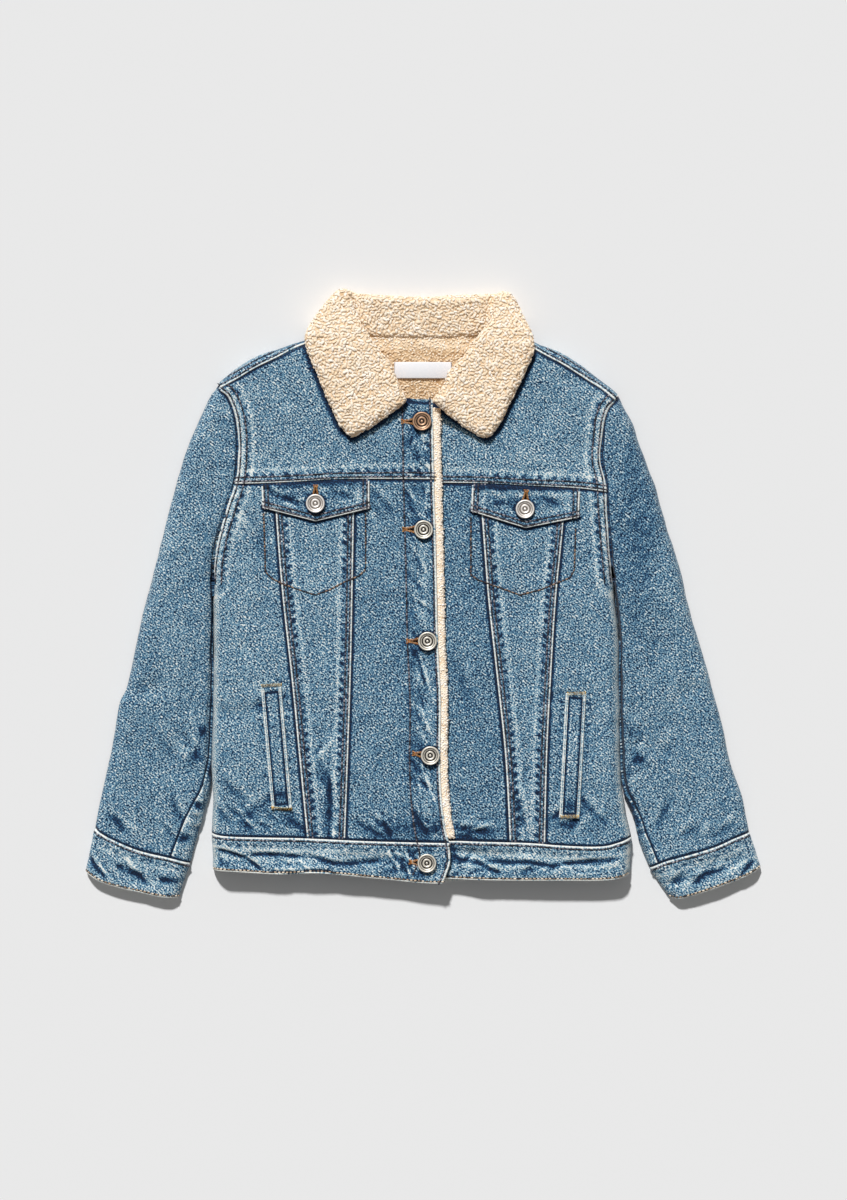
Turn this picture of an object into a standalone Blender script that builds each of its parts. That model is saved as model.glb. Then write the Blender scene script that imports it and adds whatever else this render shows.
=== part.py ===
"""A child's denim jacket with a pile collar, buttoned up and laid flat on its back.

The tables and sizes are in millimetres, and the meshes in metres. The jacket is seen from
above: +X is the wearer's left, +Y the head end and +Z up, and the origin lies on the floor
in the middle of the whole outline.

Every piece of cloth is a wall. Its plan is a patch between four seams, one smooth function
gives the height of the laid garment over any point, and a wall's inner face follows its
outer one at the cloth's thickness. Under the front panels lies the back, flat on the floor.
The edges that fold round to the underside fall in a quarter round.
"""

import math
from collections import namedtuple

import bmesh
import bpy
import numpy as np

JACKET = "denim_jacket"
CUTTERS = "joined_parts"
MM = 0.001
HALF_GAP = 0.15  # half of what lies between two pieces that are sewn together
ARMHOLE_GAP = 0.45  # the sleeve's own distance from the armhole line
UNDERARM_GAP = 1.6  # and the same where both fall to the floor
UNDERARM = (-110.0, -55.0)  # -y from the one to the other
PIECE_GAP = 0.4  # under a piece that lies on another
CLEAR = 0.4  # a wall's direction is read at least this far inside an edge
DENIM = 1.6  # one layer with its seam allowance pressed flat
BAND = 2.4  # waistband and cuffs, which are folded double
FLAP = 1.8
WELT = 1.2

CHEST = 18.8  # height of the laid body, lining and all
SLEEVE_MIDDLE = 14.5
SLEEVE_END = 10.8
SLEEVE_SETTLES = 150.0  # mm from the armhole to the sleeve's middle height
SLEEVE_TAPERS = (60.0, 230.0)  # -y over which it thins towards the cuff
SLEEVE_ROWS = 16
BAND_PROUD = 1.0  # the doubled waistband stands over the fronts
CUFF_PROUD = 0.7
PLATE_INSET = 0.9  # how far the back stays inside its side lines
LOWEST_EDGE = DENIM + 0.6  # where the upper layers end, just over those on the floor
FALL_STOPS = (0, 0.5, 2, 4.5, 8, 12.5)  # mm from a falling edge
BODY_ROUND = 11.0  # radius of the fold along the body's and sleeves' edges
LIFT = 3.4  # how far the button stand rides over the under front
LIFT_STARTS = 44.0  # mm outside the front edge
LIFT_EASES = (190.0, 225.0)  # it halves on its way down to the waistband, at -y
UNDER_FRONT = 14.6  # height of the under front below the stand
UNDER_FRONT_RISES = 28.0  # mm past the front edge over which it comes up again

LEAF = 8.6  # collar leaf, pile on both faces
COLLAR_BACK = 14.0
LEAF_ROUND = 6.0
LEAF_RIM = 2.6  # thickness left at the pile's rounded edges
LEAF_DROOP = 9.0  # how far the leaves hang down behind the shoulders
LEAF_DROOPS = (222.0, 272.0)  # y over which they do
LEAF_CLIMBS = (-42.0, -6.0)  # -|x| over which their bed comes up on the button stand
COLLAR_FOOT = 9.0  # height of the collar's back where it meets the lining
COLLAR_RISES = 14.0  # mm from there to its full height
NECK_HALF = (63.0, 77.0)  # |x| from where the back yoke goes over the shoulder
CELL = 8.0  # mm past the body from where the collar reaches the floor
LINING_UNDER = 2.0
LINING_TOP = 7.6
LINING_FOOT = 140.0
LABEL_SIZE = (52.0, 14.0, 1.0)
LABEL_AT = (0.0, 202.5)
PILE_HIDDEN, PILE_SHOWN = 10.0, 7.0
PILE_TOP, PILE_FOOT = 168.0, -219.0
PILE_EDGE, PILE_PUFF, PILE_ROUND = 1.6, 1.2, 3.0
BAND_STARTS = -225.0  # y below which a button stands on the waistband
BUTTON_STEPS = 14

SIDES = {"right": -1, "left": 1}


def rows(columns, *values):
    """A table with named columns."""
    row = namedtuple("Row", columns)
    return [row(*each) for each in values]


# The seams and edges of the plan, from the shoulder down or from the outside in.
SHOULDER_EDGE = {
    "right": rows(
        "x y", (-70, 247), (-90, 238), (-105, 230), (-127, 223), (-151, 215),
        (-165, 207), (-178, 197), (-184.5, 190),
    ),
    "left": rows(
        "x y", (70, 247), (88, 237), (103, 227), (123, 219), (143, 207),
        (160, 194), (171, 185), (176.5, 179.5),
    ),
}
SHOULDER_SEAM = {
    "right": rows("x y", (-70, 240), (-108, 225), (-129, 214), (-148, 205), (-165, 195), (-186, 184)),
    "left": rows("x y", (70, 240), (101, 220), (123, 208), (141, 197), (159, 186), (176, 172)),
}
ARMHOLE = {
    "right": rows(
        "x y", (-184.5, 190), (-183, 184.5), (-175.5, 178), (-169, 162), (-166.5, 144),
        (-166.5, 121), (-169, 100), (-175.5, 81), (-183.5, 54), (-188, 30), (-189, 12),
    ),
    "left": rows(
        "x y", (176.5, 179.5), (173, 174), (167, 168), (163, 157), (161, 139),
        (160, 121), (164, 103), (165.5, 77), (167.5, 50), (169.5, 28), (171, 13),
    ),
}
SIDE_SEAM = {
    "right": rows("x y", (-189, 12), (-189, -40), (-189, -94), (-191, -150), (-189, -184),
        (-191, -218)),
    "left": rows("x y", (171, 13), (177, -40), (177, -76), (178, -130), (179, -171), (183.5, -198),
        (188, -220)),
}
BAND_SIDE = {
    "right": rows("x y", (-191, -205), (-191, -214), (-190, -232), (-189, -258)),
    "left": rows("x y", (186, -205), (188, -217), (187.5, -235), (184, -262)),
}
YOKE_SEAM = {
    "right": rows("x y", (-185, 99.5), (-147, 100), (-111, 101.5), (-75, 103.5), (-21, 104),
        (20, 103.5)),
    "left": rows("x y", (185, 89), (150, 94.5), (123, 96.5), (87, 98), (51, 100), (-20, 101.5)),
}
WAIST_SEAM = {
    "right": rows("x y", (-200, -213), (-174, -217), (-111, -218.5), (-39, -221.5), (40, -223)),
    "left": rows("x y", (196, -215), (177, -222), (159, -226), (123, -225), (87, -222.5), (-20, -220)),
}
HEM = {
    "right": rows("x y", (-200, -247), (-165, -249), (-129, -251), (-93, -250), (-39, -255),
        (6, -259), (40, -258)),
    "left": rows("x y", (200, -247), (177, -254.5), (159, -256.5), (123, -256.5), (69, -256.5),
        (-20, -254)),
}
OUTER_TAPER = {
    "right": rows("x y", (-134, 120), (-132, 69), (-126, -4), (-118, -76), (-111, -148),
        (-102.5, -235)),
    "left": rows("x y", (129, 120), (126, 63), (119.5, -4), (115, -76), (111.5, -148), (109.5, -235)),
}
INNER_TAPER = {
    "right": rows("x y", (-61, 120), (-62, 69), (-64, -40), (-66, -112), (-70.5, -235)),
    "left": rows("x y", (49, 120), (53, 67), (58.5, -4), (66.5, -76), (74, -148), (78.5, -235)),
}
FRONT_EDGE = {
    "right": rows(
        "x y", (9, 190), (9, 173), (10, 104), (12, 32), (13.5, -40), (16, -94), (15.5, -148),
        (17, -184), (20.5, -211), (23.5, -223), (24.5, -239), (20.5, -252), (16, -262),
    ),
    "left": rows("x y", (-11, 190), (-12, 104), (-10, -94), (-8, -262)),
}
NECKLINE = {
    "right": rows("x y", (-72, 240), (-71, 228), (-62, 210), (-46, 191), (-28, 178), (-12, 174),
        (14, 172.5)),
    "left": rows("x y", (72, 239), (71, 226), (62, 209), (46, 190), (28, 178), (8, 173), (-16, 172.5)),
}
BACK_NECK = rows("x y", (-70, 247), (-60, 236), (-45, 231), (0, 229.5), (45, 231), (60, 236), (70, 247))
BACK_YOKE_SEAM = rows("x y", (-200, 126), (0, 118), (200, 124))
SLEEVE_OUTER = {
    "right": rows(
        "x y", (-184.5, 190), (-196, 171), (-211.5, 135), (-223, 99), (-232, 63), (-241, 27),
        (-251, -9), (-259, -45), (-267, -82), (-274, -100), (-280, -135), (-288, -171), (-296, -210),
    ),
    "left": rows(
        "x y", (176.5, 179.5), (180, 171), (189, 153), (194.5, 135), (209, 99), (219, 63), (231, 27),
        (238.5, -9), (250, -45), (260, -81), (270, -117), (277, -150), (287, -180), (294.5, -214),
    ),
}
SLEEVE_INNER = {
    "right": rows(
        "x y", (-190.2, 11), (-190.3, -60), (-190.8, -94), (-192.6, -150), (-192.6, -178),
        (-197, -196), (-204, -220), (-210, -242),
    ),
    "left": rows(
        "x y", (172.8, 12), (178.9, -40), (179, -76), (179.6, -130), (180.6, -171),
        (186, -190), (191.5, -207), (195.5, -225), (204.5, -246),
    ),
}
CUFF_SEAM = {
    "right": rows("x y", (-296, -210), (-291, -214), (-277, -221.5), (-255, -230.5), (-228, -237),
        (-210, -242)),
    "left": rows("x y", (294.5, -214), (281, -219), (263, -227), (240, -234), (218, -240),
        (204.5, -246)),
}
CUFF_OUTER = {
    "right": rows("x y", (-296, -210), (-301.5, -234), (-304, -250)),
    "left": rows("x y", (294.5, -214), (299, -226), (305, -246)),
}
CUFF_INNER = {
    "right": rows("x y", (-210, -242), (-216, -258), (-221, -273)),
    "left": rows("x y", (204.5, -246), (213.5, -260), (223, -273)),
}
CUFF_EDGE = {
    "right": rows("x y", (-304, -250), (-291, -258.5), (-273, -264), (-255, -268), (-237, -272),
        (-221, -273)),
    "left": rows("x y", (305, -246), (290, -254), (267, -263), (245, -270.5), (231, -274), (223, -273)),
}
# How far the under sleeve comes up over the inner edge, along the sleeve.
UNDER_STRIP = {
    "right": rows("share width", (0, 1.5), (0.62, 1.5), (0.75, 9), (0.87, 15), (1, 18)),
    "left": rows("share width", (0, 1.5), (0.68, 1.5), (0.82, 5), (0.93, 9), (1, 8)),
}
# How much of the edge's round shows where the sleeve is sewn in: a crease at the top, all at the underarm.
ARMHOLE_FALL = rows("y fall", (-20, 1.0), (30, 1.0), (60, 0.7), (100, 0.3), (130, 0.14), (200, 0.14))

LEAF_FRONT = {
    "right": rows("x y", (-15, 174), (-22.5, 167.5), (-34, 159), (-46, 151), (-55, 145), (-64, 142)),
    "left": rows("x y", (8, 174), (17, 166.5), (26, 159), (38, 150), (48.5, 143.5), (57.5, 141.5)),
}
LEAF_OUTER = {
    "right": rows("x y", (-64, 142), (-73, 149), (-85.5, 175), (-100, 210), (-106.5, 226),
        (-104, 238), (-94, 254)),
    "left": rows("x y", (57.5, 141.5), (66.5, 149), (81, 178), (97, 211), (100, 224), (96.5, 238),
        (88, 254)),
}
LEAF_TOP = {
    "right": rows("x y", (-63, 272), (-69, 275), (-76, 275), (-86, 265), (-94, 254)),
    "left": rows("x y", (66.5, 270), (72, 273), (79, 271), (84, 264), (88, 254)),
}
ROLL = {
    "right": rows("x y", (-15, 174), (-19.5, 186), (-27, 200), (-37.5, 214.5), (-49.5, 234),
        (-58, 250), (-63, 272)),
    "left": rows("x y", (8, 174), (15, 182), (28, 198), (39, 214), (49.5, 233), (60, 247), (66.5, 270)),
}
COLLAR_FOLD = rows("x y", (-72, 272), (-50, 271.5), (-30, 270), (0, 269), (24, 270), (50, 271.5),
    (73, 271))
COLLAR_SEAM = rows("x y", (-62, 243), (-50, 235), (-30, 233), (0, 232.5), (30, 233), (50, 235),
    (62, 243))

FLAP_TOP = {
    "right": rows("x y", (-145, 97), (-100, 100), (-48, 103)),
    "left": rows("x y", (141, 95.5), (95, 97), (44, 98.5)),
}
FLAP_TIP = {
    "right": rows("x y", (-144, 78), (-96.5, 65.5), (-48, 77.5)),
    "left": rows("x y", (140, 69.5), (92, 59.5), (43, 75)),
}
WELT_LINE = {
    "right": rows("x y", (-136, -87.5), (-127, -188)),
    "left": rows("x y", (137, -92.5), (131.5, -196.5)),
}
WELT_WIDTH = 12.6

BUTTONS = rows("x y", (-1, 155.7), (0.5, 58.5), (4, -41.5), (6.5, -144), (3.5, -240.5))
FLAP_BUTTONS = {"right": (-96.5, 82), "left": (91.5, 77)}
BUTTON_PROFILE = rows(
    "radius height", (0.0, 2.9), (4.2, 3.0), (5.6, 3.7), (7.2, 4.2), (8.5, 3.3), (8.2, 2.4),
    (3.2, 1.7), (3.2, 0.0), (0.0, 0.0),
)

# Where a wall leaves the floor: how far inside the edge, how high, and how far it faces out and down.
TURN = rows("inset height out down", (3.2, 0.0, 0.0, 1.0), (0.95, 0.95, 0.7071, 0.7071),
    (0.0, 2.9, 1.0, 0.0))
END_TURN = rows("inset height out down", (0.0, 3.5, 1.0, 0.0))[0]
TURN_LOOK = 4.0  # mm inside an edge, from where its inward direction is read

# The largest folds: soft troughs from one point to another.
FOLDS = rows(
    "x0 y0 x1 y1 depth width",
    (-190, -229, -142, -246, 2.4, 5.5),
    (-160, -231, -92, -236, 1.6, 5.0),
    (-80, -236, -20, -238, 1.8, 5.0),
    (28, -231, 90, -238, 2.0, 5.0),
    (100, -238, 165, -240, 1.6, 5.0),
    (36, -229, 70, -255, 1.2, 5.0),
    (-298, -231, -287, -255, 1.6, 5.0),
    (-274, -244, -246, -266, 1.8, 5.5),
    (218, -262, 240, -251, 1.6, 5.0),
    (245, -248, 296, -235, 1.8, 5.5),
    (-272, -90, -232, -82, 1.6, 8.0),
    (252, -84, 226, -92, 1.4, 8.0),
    (-186, -110, -150, -104, 1.2, 8.0),
)


def smooth(*tables):
    """Close points on the smooth curve through each table's rows, one table after another."""
    runs = []
    for table in tables:
        knots = np.array([(row.x, row.y) for row in table], float)
        knots = np.vstack([2 * knots[0] - knots[1], knots, 2 * knots[-1] - knots[-2]])
        for before, start, end, after in zip(knots, knots[1:], knots[2:], knots[3:]):
            t = np.linspace(0, 1, 9)[:, None]
            runs.append(
                0.5 * (2 * start + (end - before) * t
                       + (2 * before - 5 * start + 4 * end - after) * t**2
                       + (3 * start - before - 3 * end + after) * t**3)
            )
    points = np.vstack(runs)
    keep = np.append(True, np.linalg.norm(np.diff(points, axis=0), axis=1) > 1e-6)
    return points[keep]


class Line:
    """A line of the plan, read by its share of length from 0 to 1."""

    def __init__(self, points):
        self.points = points
        steps = np.linalg.norm(np.diff(points, axis=0), axis=1)
        self.length = steps.sum()
        self.shares = np.append(0, np.cumsum(steps)) / self.length

    def at(self, share):
        return np.array([np.interp(share, self.shares, self.points[:, k]) for k in (0, 1)])

    def part(self, start, end):
        inside = (self.shares > min(start, end)) & (self.shares < max(start, end))
        middle = self.points[inside]
        if start > end:
            middle = middle[::-1]
        return Line(np.vstack([self.at(start), middle, self.at(end)]))

    def share_where_it_meets(self, other):
        """The share of this line's length at its first crossing with another."""
        a, b = self.points[:-1, None], self.points[1:, None]
        c, d = other.points[None, :-1], other.points[None, 1:]
        along, across, apart = b - a, d - c, c - a
        turn = along[..., 0] * across[..., 1] - along[..., 1] * across[..., 0]
        turn = np.where(abs(turn) < 1e-12, 1e-12, turn)
        s = (apart[..., 0] * across[..., 1] - apart[..., 1] * across[..., 0]) / turn
        t = (apart[..., 0] * along[..., 1] - apart[..., 1] * along[..., 0]) / turn
        hits = np.argwhere((s >= 0) & (s <= 1) & (t >= 0) & (t <= 1))
        i, j = hits[0]
        return self.shares[i] + s[i, j] * (self.shares[i + 1] - self.shares[i])

    def between(self, first, last):
        return self.part(self.share_where_it_meets(first), self.share_where_it_meets(last))

    def distance(self, x, y):
        a, b = self.points[:-1], self.points[1:]
        along = b - a
        place = np.array([x, y])
        t = ((place - a) * along).sum(axis=1) / (along**2).sum(axis=1)
        nearest = a + np.clip(t, 0, 1)[:, None] * along
        return float(np.sqrt(((place - nearest) ** 2).sum(axis=1).min()))


class Patch:
    """A four-sided piece of the plan. Upper and lower run from side a to side b, and a and b run down."""

    def __init__(self, upper, lower, a, b):
        self.upper, self.lower, self.a, self.b = upper, lower, a, b
        self.width = (upper.length + lower.length) / 2
        self.depth = (a.length + b.length) / 2

    @classmethod
    def cut(cls, upper, lower, a, b):
        """The patch between four lines that cross each other at its corners."""
        return cls(upper.between(a, b), lower.between(a, b),
                   a.between(upper, lower), b.between(upper, lower))

    def at(self, u, v):
        corners = (
            (1 - u) * (1 - v) * self.a.at(0) + u * (1 - v) * self.b.at(0)
            + (1 - u) * v * self.a.at(1) + u * v * self.b.at(1)
        )
        across = (1 - v) * self.upper.at(u) + v * self.lower.at(u)
        down = (1 - u) * self.a.at(v) + u * self.b.at(v)
        return across + down - corners


def ease(value, start, end):
    """0 before start, 1 after end, smooth between them."""
    t = min(max((value - start) / (end - start), 0.0), 1.0)
    return t * t * (3 - 2 * t)


def quarter(distance, radius):
    """Height share of a quarter round at this distance inside an edge."""
    t = 1 - min(max(distance / radius, 0.0), 1.0)
    return math.sqrt(1 - t * t)


def between_rows(table, at):
    """A table's second column at a value of its first."""
    keys, values = zip(*((row[0], row[1]) for row in table))
    return float(np.interp(at, keys, values))


def both(table):
    """The smooth line of each side."""
    return {side: Line(smooth(table[side])) for side in SIDES}


def straight(points):
    return Line(np.array([(point[0], point[1]) for point in points], float))


shoulder_seam, armhole, front_edge = both(SHOULDER_SEAM), both(ARMHOLE), both(FRONT_EDGE)
yoke_seam, waist_seam, hem = both(YOKE_SEAM), both(WAIST_SEAM), both(HEM)
outer_taper, inner_taper = both(OUTER_TAPER), both(INNER_TAPER)
sleeve_outer, sleeve_inner = both(SLEEVE_OUTER), both(SLEEVE_INNER)
cuff_seam, cuff_edge = both(CUFF_SEAM), both(CUFF_EDGE)
cuff_outer, cuff_inner = both(CUFF_OUTER), both(CUFF_INNER)
neck_edge = Line(smooth(SHOULDER_EDGE["right"][::-1], BACK_NECK[1:-1], SHOULDER_EDGE["left"]))

# The lines where the cloth folds round to the underside: along the outside, down the body's
# side, and along the sleeve's inner edge.
outside = {s: Line(smooth(SHOULDER_EDGE[s], SLEEVE_OUTER[s], CUFF_OUTER[s])) for s in SIDES}
body_side = {s: Line(smooth(ARMHOLE[s], SIDE_SEAM[s][:-1], BAND_SIDE[s][1:])) for s in SIDES}
sleeve_armhole = {
    s: Line(np.array([(x + SIDES[s] * (ARMHOLE_GAP + (UNDERARM_GAP - ARMHOLE_GAP) * ease(-y, *UNDERARM)), y)
                      for x, y in armhole[s].points]))
    for s in SIDES
}
sleeve_side = {s: Line(smooth(ARMHOLE[s][:-1], SLEEVE_INNER[s], CUFF_INNER[s])) for s in SIDES}


def folds(x, y):
    """How far the folds lower the cloth here."""
    drop = 0.0
    for fold in FOLDS:
        along = np.array([fold.x1 - fold.x0, fold.y1 - fold.y0])
        place = np.array([x - fold.x0, y - fold.y0])
        t = float(place @ along) / float(along @ along)
        off = float(np.linalg.norm(place - t * along))
        ends = ease(t, -0.1, 0.25) * (1 - ease(t, 0.75, 1.1))
        drop += fold.depth * ends * math.exp(-((off / fold.width) ** 2))
    return drop


def stand_edge(y):
    """How far across the wearer's right front reaches at this height of the plan."""
    points = front_edge["right"].points
    return float(np.interp(-y, -points[:, 1], points[:, 0]))


def fronts(side, x, y):
    """Height of a front's crown, before its edges fall."""
    edge = stand_edge(y)
    if side == "right":
        lift = LIFT * (1 - 0.5 * ease(-y, *LIFT_EASES))
        return CHEST + lift * ease(x, edge - LIFT_STARTS, edge - 8)
    rise = ease(x, edge + 6, edge + 6 + UNDER_FRONT_RISES)
    return UNDER_FRONT + (CHEST - UNDER_FRONT) * rise


def fallen(crown, x, y, side, inner):
    """The crown's height once the outside and the side line have fallen to the underside."""
    share = quarter(outside[side].distance(x, y), BODY_ROUND)
    share *= 1 - between_rows(ARMHOLE_FALL, y) * (1 - quarter(inner[side].distance(x, y), BODY_ROUND))
    return LOWEST_EDGE + (crown - LOWEST_EDGE) * share


def body_top(side, x, y):
    return fallen(fronts(side, x, y) - folds(x, y), x, y, side, body_side)


def band_top(side, x, y):
    return fallen(fronts(side, x, y) + BAND_PROUD - folds(x, y), x, y, side, body_side)


def sleeve_crown(side, x, y):
    away = armhole[side].distance(x, y)
    middle = CHEST + (SLEEVE_MIDDLE - CHEST) * ease(away, 0, SLEEVE_SETTLES)
    return middle + (SLEEVE_END - SLEEVE_MIDDLE) * ease(-y, *SLEEVE_TAPERS)


def sleeve_top(side, x, y):
    return fallen(sleeve_crown(side, x, y) - folds(x, y), x, y, side, sleeve_side)


def cuff_top(side, x, y):
    return fallen(sleeve_crown(side, x, y) + CUFF_PROUD - folds(x, y), x, y, side, sleeve_side)


def facing(height, x, y, step=0.05):
    """The unit normal of a height function."""
    rise_x = (height(x + step, y) - height(x - step, y)) / (2 * step)
    rise_y = (height(x, y + step) - height(x, y - step)) / (2 * step)
    normal = np.array([-rise_x, -rise_y, 1.0])
    return normal / np.linalg.norm(normal)


def stops(count, width=1.0, near=(0,), far=(0,)):
    """Shares from 0 to 1: those near the two ends at set distances in mm, and the rest even."""
    low = [each / width for each in near]
    high = [1 - each / width for each in reversed(far)]
    return [*low[:-1], *np.linspace(low[-1], high[0], count + 1), *high[1:]]


def drawn_in(shares, width, start=HALF_GAP, end=HALF_GAP):
    """The same shares, kept this many mm clear of the two ends."""
    return [min(max(share, start / width), 1 - end / width) for share in shares]


def finish(name, material, sheet):
    """The named object of a bmesh, smooth but for its real edges."""
    mesh = bpy.data.meshes.new(name)
    sheet.to_mesh(mesh)
    sheet.free()
    mesh.shade_smooth()
    mesh.set_sharp_from_angle(angle=math.radians(40))
    mesh.materials.append(material)
    made = bpy.data.objects.new(name, mesh)
    bpy.data.collections[JACKET].objects.link(made)
    return made


def wall(name, material, across, down, place):
    """A closed wall: a flat grid, extruded, and each of its points set by place(a, d, inner).

    across and down hold what place is called with, and inner is 0 on the outer face and 1 on
    the inner one.
    """
    sheet = bmesh.new()
    bmesh.ops.create_grid(sheet, x_segments=len(across) - 1, y_segments=len(down) - 1, size=0.5)
    faces = [list(sheet.verts)]
    made = bmesh.ops.extrude_face_region(sheet, geom=sheet.faces[:])
    faces.append([each for each in made["geom"] if isinstance(each, bmesh.types.BMVert)])
    for inner, verts in enumerate(faces):
        for vert in verts:
            a = across[round((vert.co.x + 0.5) * (len(across) - 1))]
            d = down[round((0.5 - vert.co.y) * (len(down) - 1))]
            vert.co = [MM * each for each in place(a, d, inner)]
    if sheet.calc_volume(signed=True) < 0:
        bmesh.ops.reverse_faces(sheet, faces=sheet.faces)
    return finish(name, material, sheet)


def laid(name, material, patch, height, across, down, thickness, lift=0.0):
    """A piece on the garment's form: its plan is a patch, and its height a function."""

    def place(u, v, inner):
        x, y = patch.at(u, v)
        clear_u, clear_v = CLEAR / patch.width, CLEAR / patch.depth
        near = patch.at(min(max(u, clear_u), 1 - clear_u), min(max(v, clear_v), 1 - clear_v))
        return np.array([x, y, height(x, y)]) + (lift - inner * thickness) * facing(height, *near)

    return wall(name, material, across, down, place)


def slab(name, material, patch, across, down, under, over):
    """A solid between two heights, each a number or a function of x and y."""

    def place(u, v, inner):
        x, y = patch.at(u, v)
        level = under if inner else over
        return (x, y, level(x, y) if callable(level) else level)

    return wall(name, material, across, down, place)


def turned_up(patch, height, v, station, inner, thickness):
    """A point of a wall that lies on the floor and turns up round its patch's side b.

    A station is ("floor", share of the flat part), ("turn", row of TURN) or ("top", mm from
    the edge).
    """
    kind, value = station
    edge, inside = patch.at(1, v), patch.at(1 - TURN_LOOK / patch.width, v)
    inward = (inside - edge) / np.linalg.norm(inside - edge)
    if kind == "floor":
        width = np.linalg.norm(patch.at(0, v) - edge)
        return np.array([*patch.at(value * (1 - TURN[0].inset / width), v), inner * thickness])
    if kind == "turn":
        normal = np.array([*(-value.out * inward), -value.down])
        x, y = edge + value.inset * inward
        return np.array([x, y, value.height]) - inner * thickness * normal
    width = np.linalg.norm(patch.at(0, v) - edge)
    x, y = patch.at(1 - value / width, v)
    near = patch.at(1 - max(value, CLEAR) / width, v)
    return np.array([x, y, height(x, y)]) - inner * thickness * facing(height, *near)


def build_back():
    """The back, its yoke and its part of the waistband, on the floor."""
    seam = Line(smooth(BACK_YOKE_SEAM))
    waist = Line(smooth(WAIST_SEAM["right"][:-1], WAIST_SEAM["left"][:-1][::-1]))
    lower = Line(smooth(HEM["right"][:-1], HEM["left"][:-1][::-1]))
    for name, upper, under, columns, lines, thickness in (
        ("back", seam, waist, 8, 16, DENIM), ("waistband_back", waist, lower, 16, 1, DENIM),
    ):
        patch = Patch.cut(upper, under, body_side["right"], body_side["left"])
        across = drawn_in(stops(columns), patch.width, PLATE_INSET, PLATE_INSET)
        down = drawn_in(stops(lines), patch.depth)
        slab(name, DENIM_BLUE, patch, across, down, 0.0, thickness)
    build_back_yoke(seam)


def build_back_yoke(seam):
    """The back yoke lies on the floor and comes over each shoulder to the shoulder seam.

    At the neck it ends flat, so between the shoulders the points that would climb are laid
    out along the floor.
    """
    ends = [armhole[s].part(armhole[s].share_where_it_meets(seam), 0) for s in SIDES]
    patch = Patch(*ends, seam.between(armhole["right"], armhole["left"]), neck_edge)
    climb = (0.04, 0.15, 0.4, 0.7, 1.0)
    stations = [*stops(3), *TURN[1:], *climb]
    flat_reach = 2.0 * (len(stations) - 4)

    def height(x, y):
        return body_top("right" if x < 0 else "left", x, y)

    def place(index, v, inner):
        edge = patch.at(1, v)
        side = "right" if edge[0] < 0 else "left"
        over = ease(abs(edge[0]), *NECK_HALF)
        reach = max(shoulder_seam[side].distance(*edge) - 2 * PIECE_GAP, 1.0)
        station = stations[index]
        if index < 4:
            kind, share = "floor", station
        elif index < 3 + len(TURN):
            kind, share = "turn", station
        else:
            kind, share = "top", station * reach
        climbed = turned_up(patch, height, v, (kind, share), inner, DENIM)
        if over == 1:
            return climbed
        width = np.linalg.norm(patch.at(0, v) - edge)
        if index < 4:
            flat_share = station * (1 - flat_reach / width)
        else:
            flat_share = 1 - flat_reach / width * (len(stations) - 1 - index) / (len(stations) - 4)
        level = np.array([*patch.at(min(flat_share, 1.0), v), inner * DENIM])
        return over * climbed + (1 - over) * level

    right, left = neck_edge.at(0), neck_edge.at(1)
    span = left[0] - right[0]
    columns = (0, 12, 28, 44, 60, 76, 92, 104, 109, 113, 117, 121, 126, 150)
    down = [mm / span for mm in columns]
    down = [*down, *[1 - share for share in reversed(down)]]
    down = drawn_in(down, span, 2 * PLATE_INSET, 2 * PLATE_INSET)
    wall("back_yoke", DENIM_BLUE, list(range(len(stations))), down, place)


def build_front(side):
    """A front's yoke, its three lower panels and its waistband."""
    height = lambda x, y: body_top(side, x, y)
    upper = Line(smooth(SHOULDER_SEAM[side][::-1], NECKLINE[side]))
    yoke = Patch.cut(upper, yoke_seam[side], armhole[side], front_edge[side])
    neck_share = shoulder_seam[side].length / upper.length
    across = [*np.linspace(0, neck_share, 8)[:-1], *np.linspace(neck_share, 1, 8)]
    down = stops(6, yoke.depth, near=(0, 3, 8))
    laid(f"front_yoke_{side}", DENIM_BLUE, yoke, height, drawn_in(across, yoke.width),
         drawn_in(down, yoke.depth), DENIM)
    lines = [body_side[side], outer_taper[side], inner_taper[side], front_edge[side]]
    for name, columns, near, first, second in (
        ("side", 3, FALL_STOPS, *lines[:2]), ("wedge", 4, (0,), *lines[1:3]),
        ("centre", 8, (0,), *lines[2:]),
    ):
        patch = Patch.cut(yoke_seam[side], waist_seam[side], first, second)
        across = stops(columns, patch.width, near=near)
        start, lines = (0.0, 20) if name == "side" else (HALF_GAP, 14)
        laid(f"front_{name}_{side}", DENIM_BLUE, patch, height,
             drawn_in(across, patch.width, start), drawn_in(stops(lines), patch.depth), DENIM)
    band = Patch.cut(waist_seam[side], hem[side], body_side[side], front_edge[side])
    across = drawn_in(stops(17, band.width, near=FALL_STOPS), band.width, 0.0)
    laid(f"waistband_{side}", DENIM_BLUE, band, lambda x, y: band_top(side, x, y), across,
         drawn_in(stops(5), band.depth), BAND)


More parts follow.
